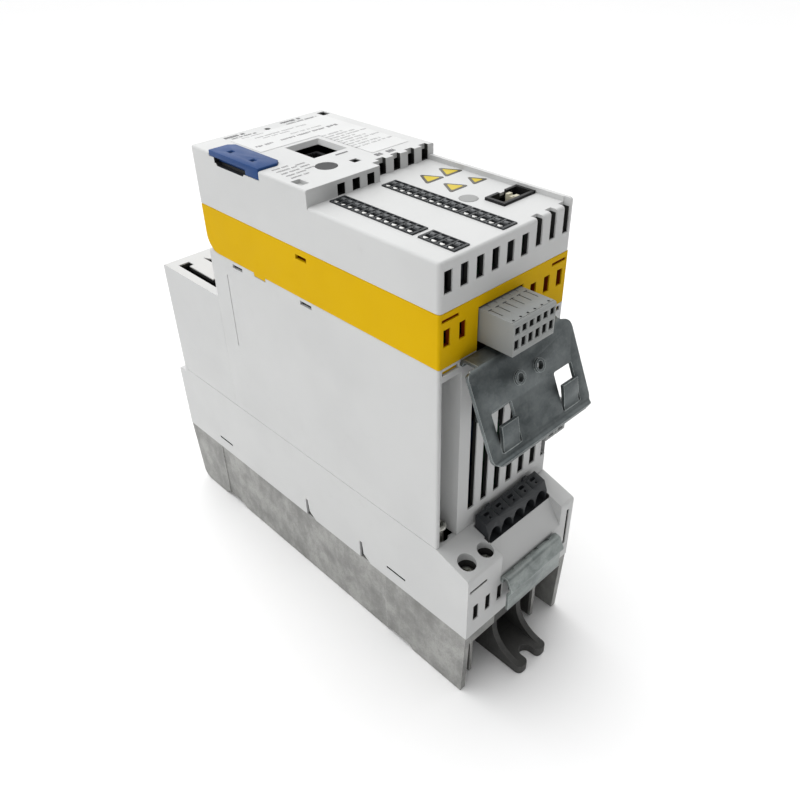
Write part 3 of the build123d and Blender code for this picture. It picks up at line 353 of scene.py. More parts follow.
class Shader:
    """A material under construction, with one surface shader."""

    def __init__(self, name: str) -> None:
        """Start a material of that name."""
        self.material = bpy.data.materials.new(name)
        self.material.use_nodes = True
        self.tree = self.material.node_tree
        self.tree.nodes.clear()
        self.surface = self.node("ShaderNodeBsdfPrincipled")
        self.node("ShaderNodeOutputMaterial", values={"Surface": self.surface.outputs["BSDF"]})
        self.place = self.node("ShaderNodeTexCoord").outputs["Object"]

    def node(self, kind: str, settings: Optional[dict] = None, values: Optional[dict] = None) -> bpy.types.Node:
        """Add a node.

        Args:
            kind: Its type.
            settings: Properties, set first.
            values: Numbers or links of its input sockets.

        Returns:
            The node.
        """
        made = self.tree.nodes.new(kind)
        for key, setting in (settings or {}).items():
            setattr(made, key, setting)
        for key, value in (values or {}).items():
            self.feed(made.inputs[key], value)
        return made

    def feed(self, socket: bpy.types.NodeSocket, value: object) -> None:
        """Give a socket a link or a number."""
        source = value.socket if isinstance(value, Value) else value
        if isinstance(source, bpy.types.NodeSocket):
            self.tree.links.new(source, socket)
        else:
            socket.default_value = source

    def set(self, **values: object) -> None:
        """Feed the surface shader's sockets; an underscore stands for a space."""
        for key, value in values.items():
            if isinstance(value, tuple) and len(value) == 3:
                value = (*value, 1.0)
            self.feed(self.surface.inputs[key.replace("_", " ")], value)

    def math(self, operation: str, first: Number, second: Number) -> Value:
        """A Math node."""
        made = self.node("ShaderNodeMath", {"operation": operation}, {0: first, 1: second})
        return Value(self, made.outputs[0])

    def stretched(self, stretch: Sequence[float]) -> bpy.types.NodeSocket:
        """Object coordinates, scaled along each axis."""
        made = self.node("ShaderNodeMapping", values={"Vector": self.place, "Scale": tuple(stretch)})
        return made.outputs["Vector"]

    def noise(
        self, size: float, detail: float = 3.0, stretch: Sequence[float] = (1, 1, 1), rough: float = 0.55
    ) -> Value:
        """Cloudy noise with features of about that size in millimetres."""
        made = self.node(
            "ShaderNodeTexNoise",
            values={"Vector": self.stretched(stretch), "Scale": 1 / (size * MM), "Detail": detail, "Roughness": rough},
        )
        return Value(self, made.outputs["Fac"])

    def cells(self, size: float, output: str = "Distance", stretch: Sequence[float] = (1, 1, 1)) -> Value:
        """Crystal cells of about that size: the distance to a cell's centre, or its own random tone."""
        made = self.node(
            "ShaderNodeTexVoronoi", values={"Vector": self.stretched(stretch), "Scale": 1 / (size * MM)}
        )
        if output == "Distance":
            return Value(self, made.outputs["Distance"])
        split = self.node("ShaderNodeSeparateColor", values={"Color": made.outputs["Color"]})
        return Value(self, split.outputs["Red"])

    def blend(self, factor: Number, first: object, second: object) -> bpy.types.NodeSocket:
        """Mix of two colours."""
        made = self.node("ShaderNodeMix", {"data_type": "RGBA"}, {0: factor})
        for index, colour in ((6, first), (7, second)):
            self.feed(made.inputs[index], (*colour, 1.0) if isinstance(colour, tuple) else colour)
        return made.outputs[2]

    def rounded_normal(self, radius: float) -> bpy.types.NodeSocket:
        """Normal that rolls over edges within a radius in millimetres."""
        return self.node("ShaderNodeBevel", {"samples": 4}, {"Radius": radius * MM}).outputs["Normal"]

    def edges(self, radius: float) -> Value:
        """Mask that is one along edges and zero on flat ground."""
        flat = self.node("ShaderNodeNewGeometry").outputs["Normal"]
        made = self.node(
            "ShaderNodeVectorMath", {"operation": "DOT_PRODUCT"}, {0: self.rounded_normal(radius), 1: flat}
        )
        return (1.0 - Value(self, made.outputs["Value"])).span(0.01, 0.22)

    def within(self, cavity: Cavity) -> Value:
        """Mask that is one inside a box given in millimetres."""
        split = self.node("ShaderNodeSeparateXYZ", values={0: self.place})
        mask: Optional[Value] = None
        for index, (low, high) in enumerate(cavity):
            along = Value(self, split.outputs[index])
            here = (along > low * MM) * (along < high * MM)
            mask = here if mask is None else mask * here
        return mask

    def relief(self, height: Value, depth: float, soft: float) -> None:
        """Raise the surface by a height map that is depth millimetres deep, over softly rounded edges."""
        made = self.node(
            "ShaderNodeBump",
            values={"Height": height, "Distance": depth * MM, "Strength": 1.0, "Normal": self.rounded_normal(soft)},
        )
        self.set(Normal=made.outputs["Normal"])


# ------------------------------------------------------------------ finishes
@dataclass(frozen=True)
class Moulding:
    """Moulded plastic: fine grain, faint flow shading, handling marks, paler rubbed edges and painted shade inside
    given boxes.
    """

    name: str
    colour: Colour
    shade: Colour
    rubbed: Colour
    roughness: float = 0.48
    grime: Colour = (0.30, 0.29, 0.27)
    dirt: float = 0.10
    # deep: colour painted inside the cavity boxes, as painted shade.
    deep: Colour = (0.012, 0.012, 0.011)
    soft: float = 0.22
    shine: float = 0.45

    def dress(self, shaded_cavities: Sequence[Cavity] = ()) -> bpy.types.Material:
        """Make the material; what lies in a cavity is painted dark, as painted shade."""
        shader = Shader(self.name)
        flow = shader.noise(45, 2)
        cloud = shader.noise(6.5, 5)
        speck = shader.noise(1.1, 4)
        grain = shader.noise(0.34, 2)
        edge = shader.edges(0.5)
        tone = shader.blend(flow.span(0.35, 0.68), self.colour, self.shade)
        tone = shader.blend(cloud.span(0.60, 0.86) * self.dirt, tone, self.grime)
        tone = shader.blend(speck.span(0.70, 0.78) * (self.dirt * 1.6), tone, self.grime)
        tone = shader.blend(edge * speck.span(0.38, 0.60) * 0.55, tone, self.rubbed)
        # Painted shade: surfaces inside each cavity box are painted the deep colour.
        for cavity in shaded_cavities:
            tone = shader.blend(shader.within(cavity) * 0.97, tone, self.deep)
        rough = self.roughness + (cloud - 0.5) * 0.22 + edge * -0.08
        shader.set(Base_Color=tone, Roughness=rough, Specular_IOR_Level=self.shine)
        shader.relief(grain * 0.7 + cloud * 0.5 + speck * 0.2, 0.022, self.soft)
        return shader.material


@dataclass(frozen=True)
class Casting:
    """Raw die-cast metal: blotches, flow streaks, small pits and scuffed edges."""

    name: str
    light: Colour = (0.44, 0.44, 0.425)
    dark: Colour = (0.22, 0.22, 0.212)
    stain: Colour = (0.10, 0.098, 0.09)
    worn: Colour = (0.62, 0.62, 0.60)
    # deep: colour painted inside the cavity boxes, as painted shade.
    deep: Colour = (0.022, 0.022, 0.021)

    def dress(self, shaded_cavities: Sequence[Cavity] = ()) -> bpy.types.Material:
        """Make the material; what lies in a cavity is painted darker, as painted shade."""
        shader = Shader(self.name)
        blotch = shader.noise(15, 6, rough=0.62)
        streak = shader.noise(5.0, 5, (1.0, 1.0, 0.45), 0.6)
        speck = shader.noise(0.8, 5, rough=0.7)
        pit = shader.cells(1.7)
        edge = shader.edges(0.6)
        body = (blotch * 0.7 + streak * 0.3).span(0.33, 0.68)
        tone = shader.blend(body, self.dark, self.light)
        tone = shader.blend(speck.span(0.42, 0.70) * 0.35, tone, self.dark)
        tone = shader.blend(blotch.span(0.60, 0.74) * streak.span(0.5, 0.65) * 0.4, tone, self.stain)
        tone = shader.blend(edge * speck.span(0.35, 0.60) * 0.7, tone, self.worn)
        # Painted shade: surfaces inside each cavity box are painted toward the deep colour.
        for cavity in shaded_cavities:
            tone = shader.blend(shader.within(cavity) * 0.8, tone, self.deep)
        rough = 0.62 + (speck - 0.5) * 0.3 + (blotch - 0.5) * 0.25
        shader.set(Base_Color=tone, Roughness=rough, Metallic=0.62 + (body - 0.5) * 0.2)
        shader.relief(speck * 0.6 + blotch + pit.span(0.0, 0.25) * 0.4, 0.09, 0.35)
        return shader.material


@dataclass(frozen=True)
class ZincSheet:
    """Galvanised sheet: crystal flowers, rolling streaks, smears and a painted highlight along every edge."""

    name: str
    light: Colour = (0.155, 0.172, 0.174)
    dark: Colour = (0.066, 0.077, 0.080)
    # bright: colour of the painted edge highlight and of the pale smears.
    bright: Colour = (0.60, 0.64, 0.63)

    def dress(self) -> bpy.types.Material:
        """Make the material."""
        shader = Shader(self.name)
        flower = shader.cells(3.4, "Color", (1, 1, 0.8))
        fern = shader.cells(0.9, "Color")
        smear = shader.noise(11, 5, (1, 0.6, 1), 0.6)
        fine = shader.noise(0.5, 4, (1, 1, 0.25))
        edge = shader.edges(0.45)
        body = (flower * 0.08 + fern * 0.05 + smear * 0.87).span(0.28, 0.70)
        tone = shader.blend(body, self.dark, self.light)
        # Painted highlight: every edge is painted toward the bright colour.
        tone = shader.blend(edge * 0.8, tone, self.bright)
        tone = shader.blend(smear.span(0.62, 0.76) * fine.span(0.4, 0.6) * 0.2, tone, self.bright)
        rough = 0.46 + (flower - 0.5) * 0.08 + (fine - 0.5) * 0.12 + edge * -0.08
        shader.set(Base_Color=tone, Roughness=rough, Metallic=0.82 + (smear - 0.5) * 0.15)
        shader.relief(flower * 0.1 + fine * 0.4 + smear, 0.02, 0.25)
        return shader.material


@dataclass(frozen=True)
class BrightMetal:
    """Plated or bare small metal parts, with fine drawing lines."""

    name: str
    light: Colour
    dark: Colour
    roughness: float = 0.28

    def dress(self) -> bpy.types.Material:
        """Make the material."""
        shader = Shader(self.name)
        line = shader.noise(0.25, 3, (1, 1, 0.15))
        cloud = shader.noise(2.2, 4)
        edge = shader.edges(0.2)
        tone = shader.blend((line * 0.5 + cloud * 0.5).span(0.35, 0.65), self.dark, self.light)
        # Painted highlight: edges painted toward the light tone.
        tone = shader.blend(edge * 0.5, tone, self.light)
        shader.set(Base_Color=tone, Roughness=self.roughness + (cloud - 0.5) * 0.3, Metallic=0.95)
        shader.relief(line + cloud, 0.012, 0.12)
        return shader.material


@dataclass(frozen=True)
class Laminate:
    """Printed board: solder mask over copper tracks and weave."""

    name: str
    mask: Colour = (0.007, 0.055, 0.024)
    track: Colour = (0.016, 0.10, 0.043)

    def dress(self) -> bpy.types.Material:
        """Make the material."""
        shader = Shader(self.name)
        tracks = shader.cells(2.6, "Distance", (1, 0.3, 1))
        weave = shader.noise(0.6, 2)
        edge = shader.edges(0.3)
        tone = shader.blend(tracks.span(0.30, 0.36), self.mask, self.track)
        tone = shader.blend(weave.span(0.5, 0.7) * 0.3, tone, self.mask)
        tone = shader.blend(edge * 0.6, tone, (0.35, 0.33, 0.20))
        shader.set(Base_Color=tone, Roughness=0.30 + (weave - 0.5) * 0.2, Coat_Weight=0.3)
        shader.relief(tracks.span(0.30, 0.36) + weave * 0.2, 0.03, 0.15)
        return shader.material


WHITE = Moulding(
    "finish_housing_white", (0.555, 0.56, 0.557), (0.53, 0.535, 0.533), (0.68, 0.68, 0.675), 0.50, dirt=0.07,
    shine=0.3,
)
# The frame's deep colour is a dark orange, painted as shade in its hollows.
YELLOW = Moulding(
    "finish_frame_yellow", (0.64, 0.395, 0.001), (0.61, 0.37, 0.001), (0.78, 0.53, 0.02), 0.55,
    grime=(0.40, 0.20, 0.005), deep=(0.20, 0.018, 0.003), shine=0.04,
)
BLUE = Moulding(
    "finish_module_blue", (0.024, 0.066, 0.200), (0.020, 0.056, 0.170), (0.09, 0.15, 0.33), 0.45,
    grime=(0.015, 0.03, 0.08), shine=0.1,
)
CHARCOAL = Moulding(
    "finish_terminal_dark", (0.026, 0.029, 0.032), (0.019, 0.021, 0.024), (0.13, 0.14, 0.145), 0.45, soft=0.12,
    shine=0.3,
)
LEVER = Moulding(
    "finish_lever_grey", (0.075, 0.08, 0.085), (0.05, 0.055, 0.06), (0.36, 0.37, 0.37), 0.42, soft=0.12,
)
GREY = Moulding(
    "finish_plug_grey", (0.295, 0.305, 0.298), (0.26, 0.27, 0.265), (0.43, 0.44, 0.43), 0.48,
    grime=(0.13, 0.13, 0.12), soft=0.12, shine=0.3,
)
BLACK = Moulding(
    "finish_socket_black", (0.010, 0.010, 0.011), (0.014, 0.014, 0.015), (0.06, 0.06, 0.062), 0.45, soft=0.12, shine=0.2
)
# Near-black plates set inside holes, wells and entries: painted shade.
SHADE_BLACK = Moulding(
    "finish_void_black", (0.004, 0.004, 0.004), (0.006, 0.006, 0.006), (0.008, 0.008, 0.008), 0.85, soft=0.1, shine=0.03
)
CREAM = Moulding("finish_jumper_cream", (0.50, 0.475, 0.36), (0.44, 0.41, 0.31), (0.64, 0.62, 0.5), 0.46, soft=0.12)
LENS = Moulding("finish_window_grey", (0.058, 0.058, 0.06), (0.048, 0.048, 0.05), (0.20, 0.20, 0.20), 0.5, dirt=0.05, shine=0.1)
# Disc grey, partly the disc's own colour and partly darkened as painted shade of its recess.
DISC_SHADE_GREY = Moulding("finish_disc_grey", (0.26, 0.265, 0.26), (0.24, 0.24, 0.24), (0.60, 0.60, 0.60), 0.42)
FILM = Moulding("finish_print_film", (0.565, 0.57, 0.567), (0.545, 0.55, 0.548), (0.68, 0.68, 0.68), 0.4, dirt=0.05)
INK = Moulding("finish_print_ink", (0.12, 0.12, 0.125), (0.17, 0.17, 0.175), (0.30, 0.30, 0.30), 0.55, soft=0.02)
PALE_INK = Moulding("finish_faint_ink", (0.27, 0.27, 0.275), (0.33, 0.33, 0.335), (0.5, 0.5, 0.5), 0.55, soft=0.02)
STICKER = Moulding(
    "finish_sticker_yellow", (0.56, 0.43, 0.01), (0.50, 0.37, 0.01), (0.72, 0.55, 0.1), 0.4, grime=(0.2, 0.13, 0.01),
    shine=0.2,
)
BORDER = Moulding("finish_sticker_border", (0.035, 0.03, 0.02), (0.05, 0.045, 0.03), (0.2, 0.2, 0.15), 0.35)
COMPONENT = Moulding("finish_component_black", (0.016, 0.016, 0.017), (0.022, 0.022, 0.023), (0.09, 0.09, 0.09), 0.5)
SLEEVE = Moulding("finish_capacitor_sleeve", (0.02, 0.04, 0.11), (0.03, 0.05, 0.13), (0.1, 0.14, 0.25), 0.3)
RELAY = Moulding("finish_relay_case", (0.04, 0.10, 0.27), (0.03, 0.08, 0.22), (0.12, 0.2, 0.4), 0.35)
PAD = Moulding("finish_pad_grey", (0.42, 0.43, 0.44), (0.36, 0.37, 0.38), (0.5, 0.5, 0.5), 0.7)
PIPE = Moulding("finish_clear_pipe", (0.78, 0.83, 0.83), (0.7, 0.76, 0.76), (0.9, 0.92, 0.92), 0.15, dirt=0.03)
WINDING = BrightMetal("finish_choke_winding", (0.50, 0.19, 0.06), (0.24, 0.08, 0.03), 0.35)
STEEL = BrightMetal("finish_spring_steel", (0.74, 0.74, 0.72), (0.42, 0.42, 0.41), 0.25)
BRASS = BrightMetal("finish_contact_brass", (0.80, 0.62, 0.30), (0.45, 0.30, 0.12), 0.25)
ZINC = BrightMetal("finish_zinc_screw", (0.72, 0.72, 0.66), (0.36, 0.36, 0.33), 0.30)
SHEET_METAL = ZincSheet("finish_galvanised_sheet")
CLAMP_METAL = ZincSheet("finish_galvanised_clamp", (0.34, 0.37, 0.36), (0.15, 0.17, 0.168), (0.72, 0.76, 0.75))
CAST = Casting("finish_cast_aluminium")
GREEN = Laminate("finish_circuit_green")

SLOT_FINISH = {
    "module_blue": BLUE, "terminal_dark": CHARCOAL, "plug_grey": GREY, "socket_black": BLACK,
    "jumper_cream": CREAM, "spring_steel": STEEL, "contact_brass": BRASS, "zinc_screw": ZINC, "print_film": FILM,
    "sticker_yellow": STICKER, "window_grey": LENS, "clear_pipe": PIPE, "circuit_green": GREEN,
    "component_black": COMPONENT, "capacitor_sleeve": SLEEVE, "choke_winding": WINDING, "relay_case": RELAY,
    "pad_grey": PAD, "cast_aluminium": CAST, "galvanised_sheet": SHEET_METAL, "housing_white": WHITE,
    "frame_yellow": YELLOW,
}


class Wardrobe:
    """Materials by finish, each made once."""

    made: dict[str, bpy.types.Material] = {}

    @classmethod
    def of(cls, finish: object) -> bpy.types.Material:
        """The material of a finish."""
        if finish.name not in cls.made:
            cls.made[finish.name] = finish.dress()
        return cls.made[finish.name]


def coat(piece: Piece, material: bpy.types.Material) -> None:
    """Give a piece one material all over."""
    if not piece.data.materials:
        piece.data.materials.append(material)
    for holder in piece.material_slots:
        holder.material = material


def hand_over(
    piece: Piece, name: str, body: Body, finish: object, replaces: Sequence[str] = ()
) -> Piece:
    """Name a finished piece, dress it and fix it to its body.

    Args:
        piece: The piece, modelled in place.
        name: Its name.
        body: Body that it rides on.
        finish: Its finish.
        replaces: CAD nodes that it stands for.

    Returns:
        The piece.
    """
    piece.name = name
    piece.data.name = name
    piece.data.materials.clear()
    coat(piece, Wardrobe.of(finish))
    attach(piece, body.value)
    if replaces:
        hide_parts(*replaces)
    log.info("piece %s: %d faces, on %s", name, len(piece.data.polygons), body.value)
    return piece


# ------------------------------------------------------------------ sub-assemblies
@dataclass
class Shells:
    """The moulded housings and the inner parts, which keep their CAD shape."""

    wall: float = 2.2
    # Inset of the painted-shade boxes from a shell's outer faces.
    shade_inset: float = 1.2
    mouth: float = 0.6

    def room(self, node: str, top: float = 0.0, front: float = 0.0) -> Cavity:
        """Hollow of a shell, from halfway through its walls, as the box in which the shell's colour is painted dark as
        painted shade.

        Args:
            node: The shell.
            top: Distance of the hollow's ceiling below the shell's top.
            front: Extra distance behind the connector end.

        Returns:
            The hollow as a box.
        """
        low, high = seat(node)
        inset = self.shade_inset
        return (
            (low.x + inset, high.x - self.mouth - front),
            (low.y + inset, high.y - inset),
            (low.z - 1.0, high.z - top),
        )

    def build(self) -> None:
        """Dress every CAD node by its slot, the shells with painted shade in their hollows, vents, wells and gaps."""
        cover_low, cover_high = seat("front_cover")
        main_low, main_high = seat("main_housing")
        base_low, base_high = seat("base_housing")
        sink_low, sink_high = seat("heatsink")
        sides = (main_low.y + self.shade_inset, main_high.y - self.shade_inset)
        groove_back, groove_far = main_high.x - 11.9, main_low.y + 14.2
        panel_under = (cover_low.z + 12.0, cover_high.z - self.wall - 0.3)
        # Foot wells, painted dark as painted shade.
        wells = [((97.0, 105.6), (-33.0, -24.4), (64.0, 72.6)), ((98.0, 105.8), (-22.0, -14.2), (64.0, 72.6))]
        pockets = [
            ((x - long / 2 - 0.2, x + long / 2 + 0.2), (y - wide / 2 - 0.2, y + wide / 2 + 0.2), (210.0, 211.5))
            for x, y, long, wide in ((12.9, -1.4, 3.6, 3.6), (-46.3, 31.2, 5.0, 4.0), (-46.1, -0.2, 2.8, 2.8))
        ]
        # Per shell, the boxes in which its colour is painted dark: painted shade inside the shells, in vents, foot
        # wells, pockets, gaps and between the heatsink's fins.
        shells: dict[str, tuple[object, list[Cavity]]] = {
            "main_housing": (WHITE, [
                ((main_low.x + self.shade_inset, groove_back), sides, (main_low.z - 1, main_high.z + 1)),
                ((groove_back - 0.1, main_high.x - self.mouth), (groove_far, sides[1]),
                 (main_low.z - 1, main_high.z + 1)),
            ]),
            "rear_housing": (WHITE, [self.room("rear_housing", self.mouth)]),
            "base_housing": (WHITE, [
                self.room("base_housing", 6.5, 16.4),
                ((90.0, 107.5), (base_low.y + self.shade_inset, base_high.y - self.shade_inset), (base_low.z, 60.5)),
                ((104.9, 107.6), (-33.7, -23.0), (64.6, 67.2)),
                ((100.0, 107.5), (30.0, 33.0), (46.0, 69.0)),
                ((-77.0, -63.0), (base_low.y + 0.15, base_low.y + 0.95), (44.0, 46.4)),
                ((59.0, 72.0), (base_low.y + 0.15, base_low.y + 0.95), (44.0, 46.4)),
                ((88.0, 100.78), (-14.6, 26.4), (56.0, 76.6)),
                *wells,
            ]),
            "safety_frame": (YELLOW, [
                ((main_low.x + self.shade_inset, 86.4), sides, (main_high.z - 1, cover_low.z + 1)),
                ((86.3, main_high.x - self.mouth), sides, (167.2, cover_low.z + 1)),
            ]),
            "front_cover": (WHITE, [
                self.room("front_cover", 6.3 + self.shade_inset),
                ((1.0, 23.95), (sides[0], -0.6), panel_under),
                ((1.0, 19.55), (-0.61, sides[1]), panel_under),
                ((22.0, 23.95), (-21.0, -1.0), (panel_under[0], 210.6)),
                ((17.7, 19.55), (4.0, 32.9), (panel_under[0], 211.97)),
                ((-16.4, -1.6), (-7.3, 2.5), (198.0, 211.0)),
                ((-35.2, -13.4), (-34.9, -32.0), (207.0, 210.6)),
                *pockets,
            ]),
            "heatsink": (CAST, [
                ((-100.0, 101.0), (-31.8, 31.8), (-1.0, 33.0)), ((100.9, 121.0), (-16.0, 16.0), (-1.0, 37.0)),
            ]),
        }
        slots = {part["node"]: part["material_slot"] for part in frame["record"]["subparts"]}
        for node, piece in frame["nodes"].items():
            if node in shells:
                finish, painted_shade_boxes = shells[node]
                named = type(finish)(**{**finish.__dict__, "name": f"{finish.name}_{node}"})
                coat(piece, named.dress(painted_shade_boxes))
            else:
                coat(piece, Wardrobe.of(SLOT_FINISH[slots[node]]))
        # The blanking disc's darker grey is partly painted shade of its recess.
        coat(frame["nodes"]["blanking_disc"], Wardrobe.of(DISC_SHADE_GREY))


@dataclass
class FrontPrint:
    """Generic print on the raised panel: rows of short bars, no lettering."""

    top: float = 212.0
    thick: float = 0.15
    seed: int = 7

    def row(self, dice: random.Random, x: float, y: Span, high: float, wide: float) -> list[tuple[Span, Span]]:
        """Bars of one line of print.

        Args:
            dice: Source of the uneven lengths.
            x: Middle of the line.
            y: Its start and end.
            high: Height of the bars.
            wide: Typical width of a bar.

        Returns:
            Limits of each bar in X and Y.
        """
        bars, here, word = [], y[0], dice.randint(3, 8)
        while here < y[1]:
            length = wide * dice.uniform(0.7, 1.4)
            bars.append(((x - high / 2, x + high / 2 * dice.choice((1.0, 1.0, 0.5))), (here, min(here + length, y[1]))))
            here += length + wide * 0.45
            word -= 1
            if word == 0:
                here += wide * 1.3
                word = dice.randint(2, 8)
        return bars

    def build(self) -> None:
        """Print the bold and the faint lines."""
        dice = random.Random(self.seed)
        bold = [(-48.0, (-21.0, -11.0), 1.7, 0.85), (-48.2, (8.5, 19.0), 1.7, 0.85), (-28.6, (-18.6, -10.0), 1.7, 0.8),
                (-28.6, (-6.0, 18.0), 1.5, 0.7), (-28.6, (18.8, 24.6), 2.2, 1.2)]
        faint = [(-45.2, (-19.0, -7.0), 1.1, 0.6), (-45.2, (9.5, 26.0), 1.1, 0.6), (-42.4, (-16.0, -5.0), 1.0, 0.6),
                 (-38.6, (-12.0, 15.0), 1.2, 0.65), (-36.2, (-9.5, 4.0), 1.0, 0.6), (-32.4, (2.0, 19.0), 1.1, 0.6)]
        faint += [(-20.0 + 2.7 * i, (9.0, 20.0 + 4.5 * (i % 3)), 1.2, 0.6) for i in range(9)]
        legend = [(-1.4 + 3.0 * i, (-30.6, -22.4 + (i % 2)), 0.8, 0.6) for i in range(5)]
        legend += [(0.4 + 3.0 * i, (-20.8, -16.6), 0.8, 0.6) for i in range(3)]
        marks = [(14.4, (8.0, 11.4), 2.4, 1.2), (14.6, (14.0, 17.6), 2.4, 1.2), (2.6, (-2.6, 3.6), 0.9, 0.5)]
        for name, rows, finish in (
            ("print_bold", bold + marks, INK),
            ("print_faint", faint + legend, PALE_INK),
        ):
            bars = [bar for row in rows for bar in self.row(dice, *row)]
            pieces = [block(x, y, (self.top - 0.1, self.top + self.thick)) for x, y in bars]
            hand_over(gather(pieces), name, Body.DRIVE, finish)


@dataclass
class Stickers:
    """Four plain triangles with a dark border."""

    places: tuple[tuple[float, float, float], ...] = (
        (36.1, 27.2, 5.3), (36.1, 16.6, 5.3), (48.9, 16.2, 5.2), (50.2, 27.4, 4.2),
    )
    border: float = 0.92

    def triangle(self, x: float, y: float, size: float, z: Span) -> Piece:
        """One triangle with blunt corners, pointing to the supply end."""
        outline = []
        for corner in range(3):
            for lean in (-0.10, 0.0, 0.10):
                angle = math.pi + corner * math.tau / 3 + lean
                reach = size * (0.985 if lean else 1.0)
                outline.append((x + reach * math.cos(angle), y + reach * math.sin(angle)))
        return prism(outline, Axis.Z, z)

    def build(self) -> None:
        """Lay the borders and the yellow fields."""
        low, high = seat("triangle_stickers")
        rims = [self.triangle(x, y, size, (low.z, high.z)) for x, y, size in self.places]
        hand_over(gather(rims), "sticker_borders", Body.DRIVE, BORDER, ["triangle_stickers"])
        fields = [
            self.triangle(x, y, size - 2 * self.border, (low.z, high.z + 0.05)) for x, y, size in self.places
        ]
        hand_over(gather(fields), "sticker_fields", Body.DRIVE, STICKER)


@dataclass
class MemoryModule:
    """Blue plug-in module with a finger lip."""

    corner: float = 2.6
    lid: float = 3.2
    hole: float = 1.15
    holes: tuple[Point, ...] = ((-29.4, -30.1), (-14.3, -30.1))

    def build(self) -> None:
        """Model the lid, its plug body and its two square holes."""
        low, high = seat("memory_module")
        plan = [
            (low.x, low.y), (high.x, low.y), (high.x, high.y - self.corner), (high.x - self.corner, high.y),
            (low.x + self.corner, high.y), (low.x, high.y - self.corner),
        ]
        under = high.z - 4.5
        lid = prism(plan, Axis.Z, (under, high.z))
        cutters = [
            funnel((x, y, high.z - 0.9), (1.7, 1.7), (2.5, 2.5), 2.0) for x, y in self.holes
        ]
        cutters.append(block((low.x - 1, high.x - 9.0), (low.y - 1, low.y + 2.4), (under - 1, high.z - 2.4)))
        lid = soften(carve(lid, *cutters), 0.35, 3)
        key = soften(block((-31.0, -12.0), (-32.0, -26.0), (low.z, under + 0.5)), 0.3)
        hand_over(gather([lid, key]), "memory_module_body", Body.MEMORY_CARD, BLUE, ["memory_module"])
        # Near-black plates at the bottom of the square holes: painted shade.
        hole_shade_plates = [block((x - 0.95, x + 0.95), (y - 0.95, y + 0.95), (high.z - 1.9, high.z - 1.6)) for x, y in self.holes]
        hand_over(soften(gather(hole_shade_plates), 0.1), "memory_module_hole_floors", Body.MEMORY_CARD, SHADE_BLACK)


@dataclass
class ControlStrip:
    """Push-in terminal strip: a row of wire wells with bright clamp tongues, and a row of release levers."""

    node: str
    poles: int
    pitch: float = 3.81
    rim: float = 0.6

    def build(self) -> None:
        """Model the strip's body, its levers and its clamp tongues."""
        low, high = seat(self.node)
        middle = (low.y + high.y) / 2
        first = low.x + self.rim + self.pitch / 2
        shifts = [(self.pitch * i, 0, 0) for i in range(self.poles)]
        body = block((low.x, high.x), (low.y, high.y), (low.z, high.z))
        well = funnel((first, middle - 1.55, high.z - 1.9), (2.5, 2.6), (3.1, 2.9), 4.0)
        trough = prism(
            [(middle + 0.15, high.z + 0.5), (middle + 0.35, high.z - 2.2), (middle + 2.2, high.z - 2.2),
             (high.y - 0.35, high.z - 0.5), (high.y - 0.35, high.z + 0.5)],
            Axis.X, (first - 1.55, first + 1.55),
        )
        notch = block((first - 1.3, first + 1.3), (low.y + 0.35, low.y + 1.4), (high.z - 0.45, high.z + 1))
        body = carve(body, repeat(well, shifts), repeat(trough, shifts), repeat(notch, shifts))
        hand_over(soften(body, 0.12), f"{self.node}_strip", Body.DRIVE, CHARCOAL, [self.node])
        lever = prism(
            [(middle + 0.4, high.z - 2.6), (middle + 2.9, high.z - 2.6), (middle + 2.6, high.z - 0.3),
             (middle + 1.4, high.z + 0.35), (middle + 0.4, high.z + 0.2)],
            Axis.X, (first - 1.0, first + 1.0),
        )
        hand_over(
            repeat(soften(lever, 0.18), shifts), f"{self.node}_levers", Body.DRIVE, LEVER
        )
        # Near-black plates in the wire wells: painted shade.
        floor = block((first - 1.5, first + 1.5), (middle - 3.0, middle - 0.1), (high.z - 1.5, high.z - 1.2))
        hand_over(repeat(floor, shifts), f"{self.node}_wells", Body.DRIVE, SHADE_BLACK)
        tongue = rod((first, low.y + 1.35, high.z - 0.15), 1.05, 0.5, Axis.Z, 20)
        tongue = carve(tongue, block((first - 2, first + 2), (low.y + 1.55, middle + 1), (high.z - 3, high.z + 1)))
        hand_over(
            repeat(soften(tongue, 0.12), shifts), f"{self.node}_tongues", Body.DRIVE, STEEL
        )


@dataclass
class OptionSocket:
    """Jumper cap with a grip on top."""

    def build(self) -> None:
        """Model the cap."""
        low, high = seat("jumper_cap")
        cap = block((low.x, high.x), (low.y, high.y), (low.z, high.z))
        slots = [
            block((low.x - 1, low.x + 0.25), (low.y + 0.5, high.y - 0.5), (high.z - 3.4, high.z - 0.8)),
            block((high.x - 0.25, high.x + 1), (low.y + 0.5, high.y - 0.5), (high.z - 3.4, high.z - 0.8)),
            block((low.x + 1.6, high.x - 1.6), (low.y - 1, high.y + 1), (high.z - 0.7, high.z + 1)),
        ]
        slots += [
            block((x - 0.4, x + 0.4), ((low.y + high.y) / 2 - 0.4, (low.y + high.y) / 2 + 0.4), (low.z - 1, low.z + 5.6))
            for x in (low.x + 1.2, high.x - 1.2)
        ]
        cap = soften(carve(cap, *slots), 0.15)
        hand_over(cap, "jumper_cap_body", Body.JUMPER, CREAM, ["jumper_cap"])


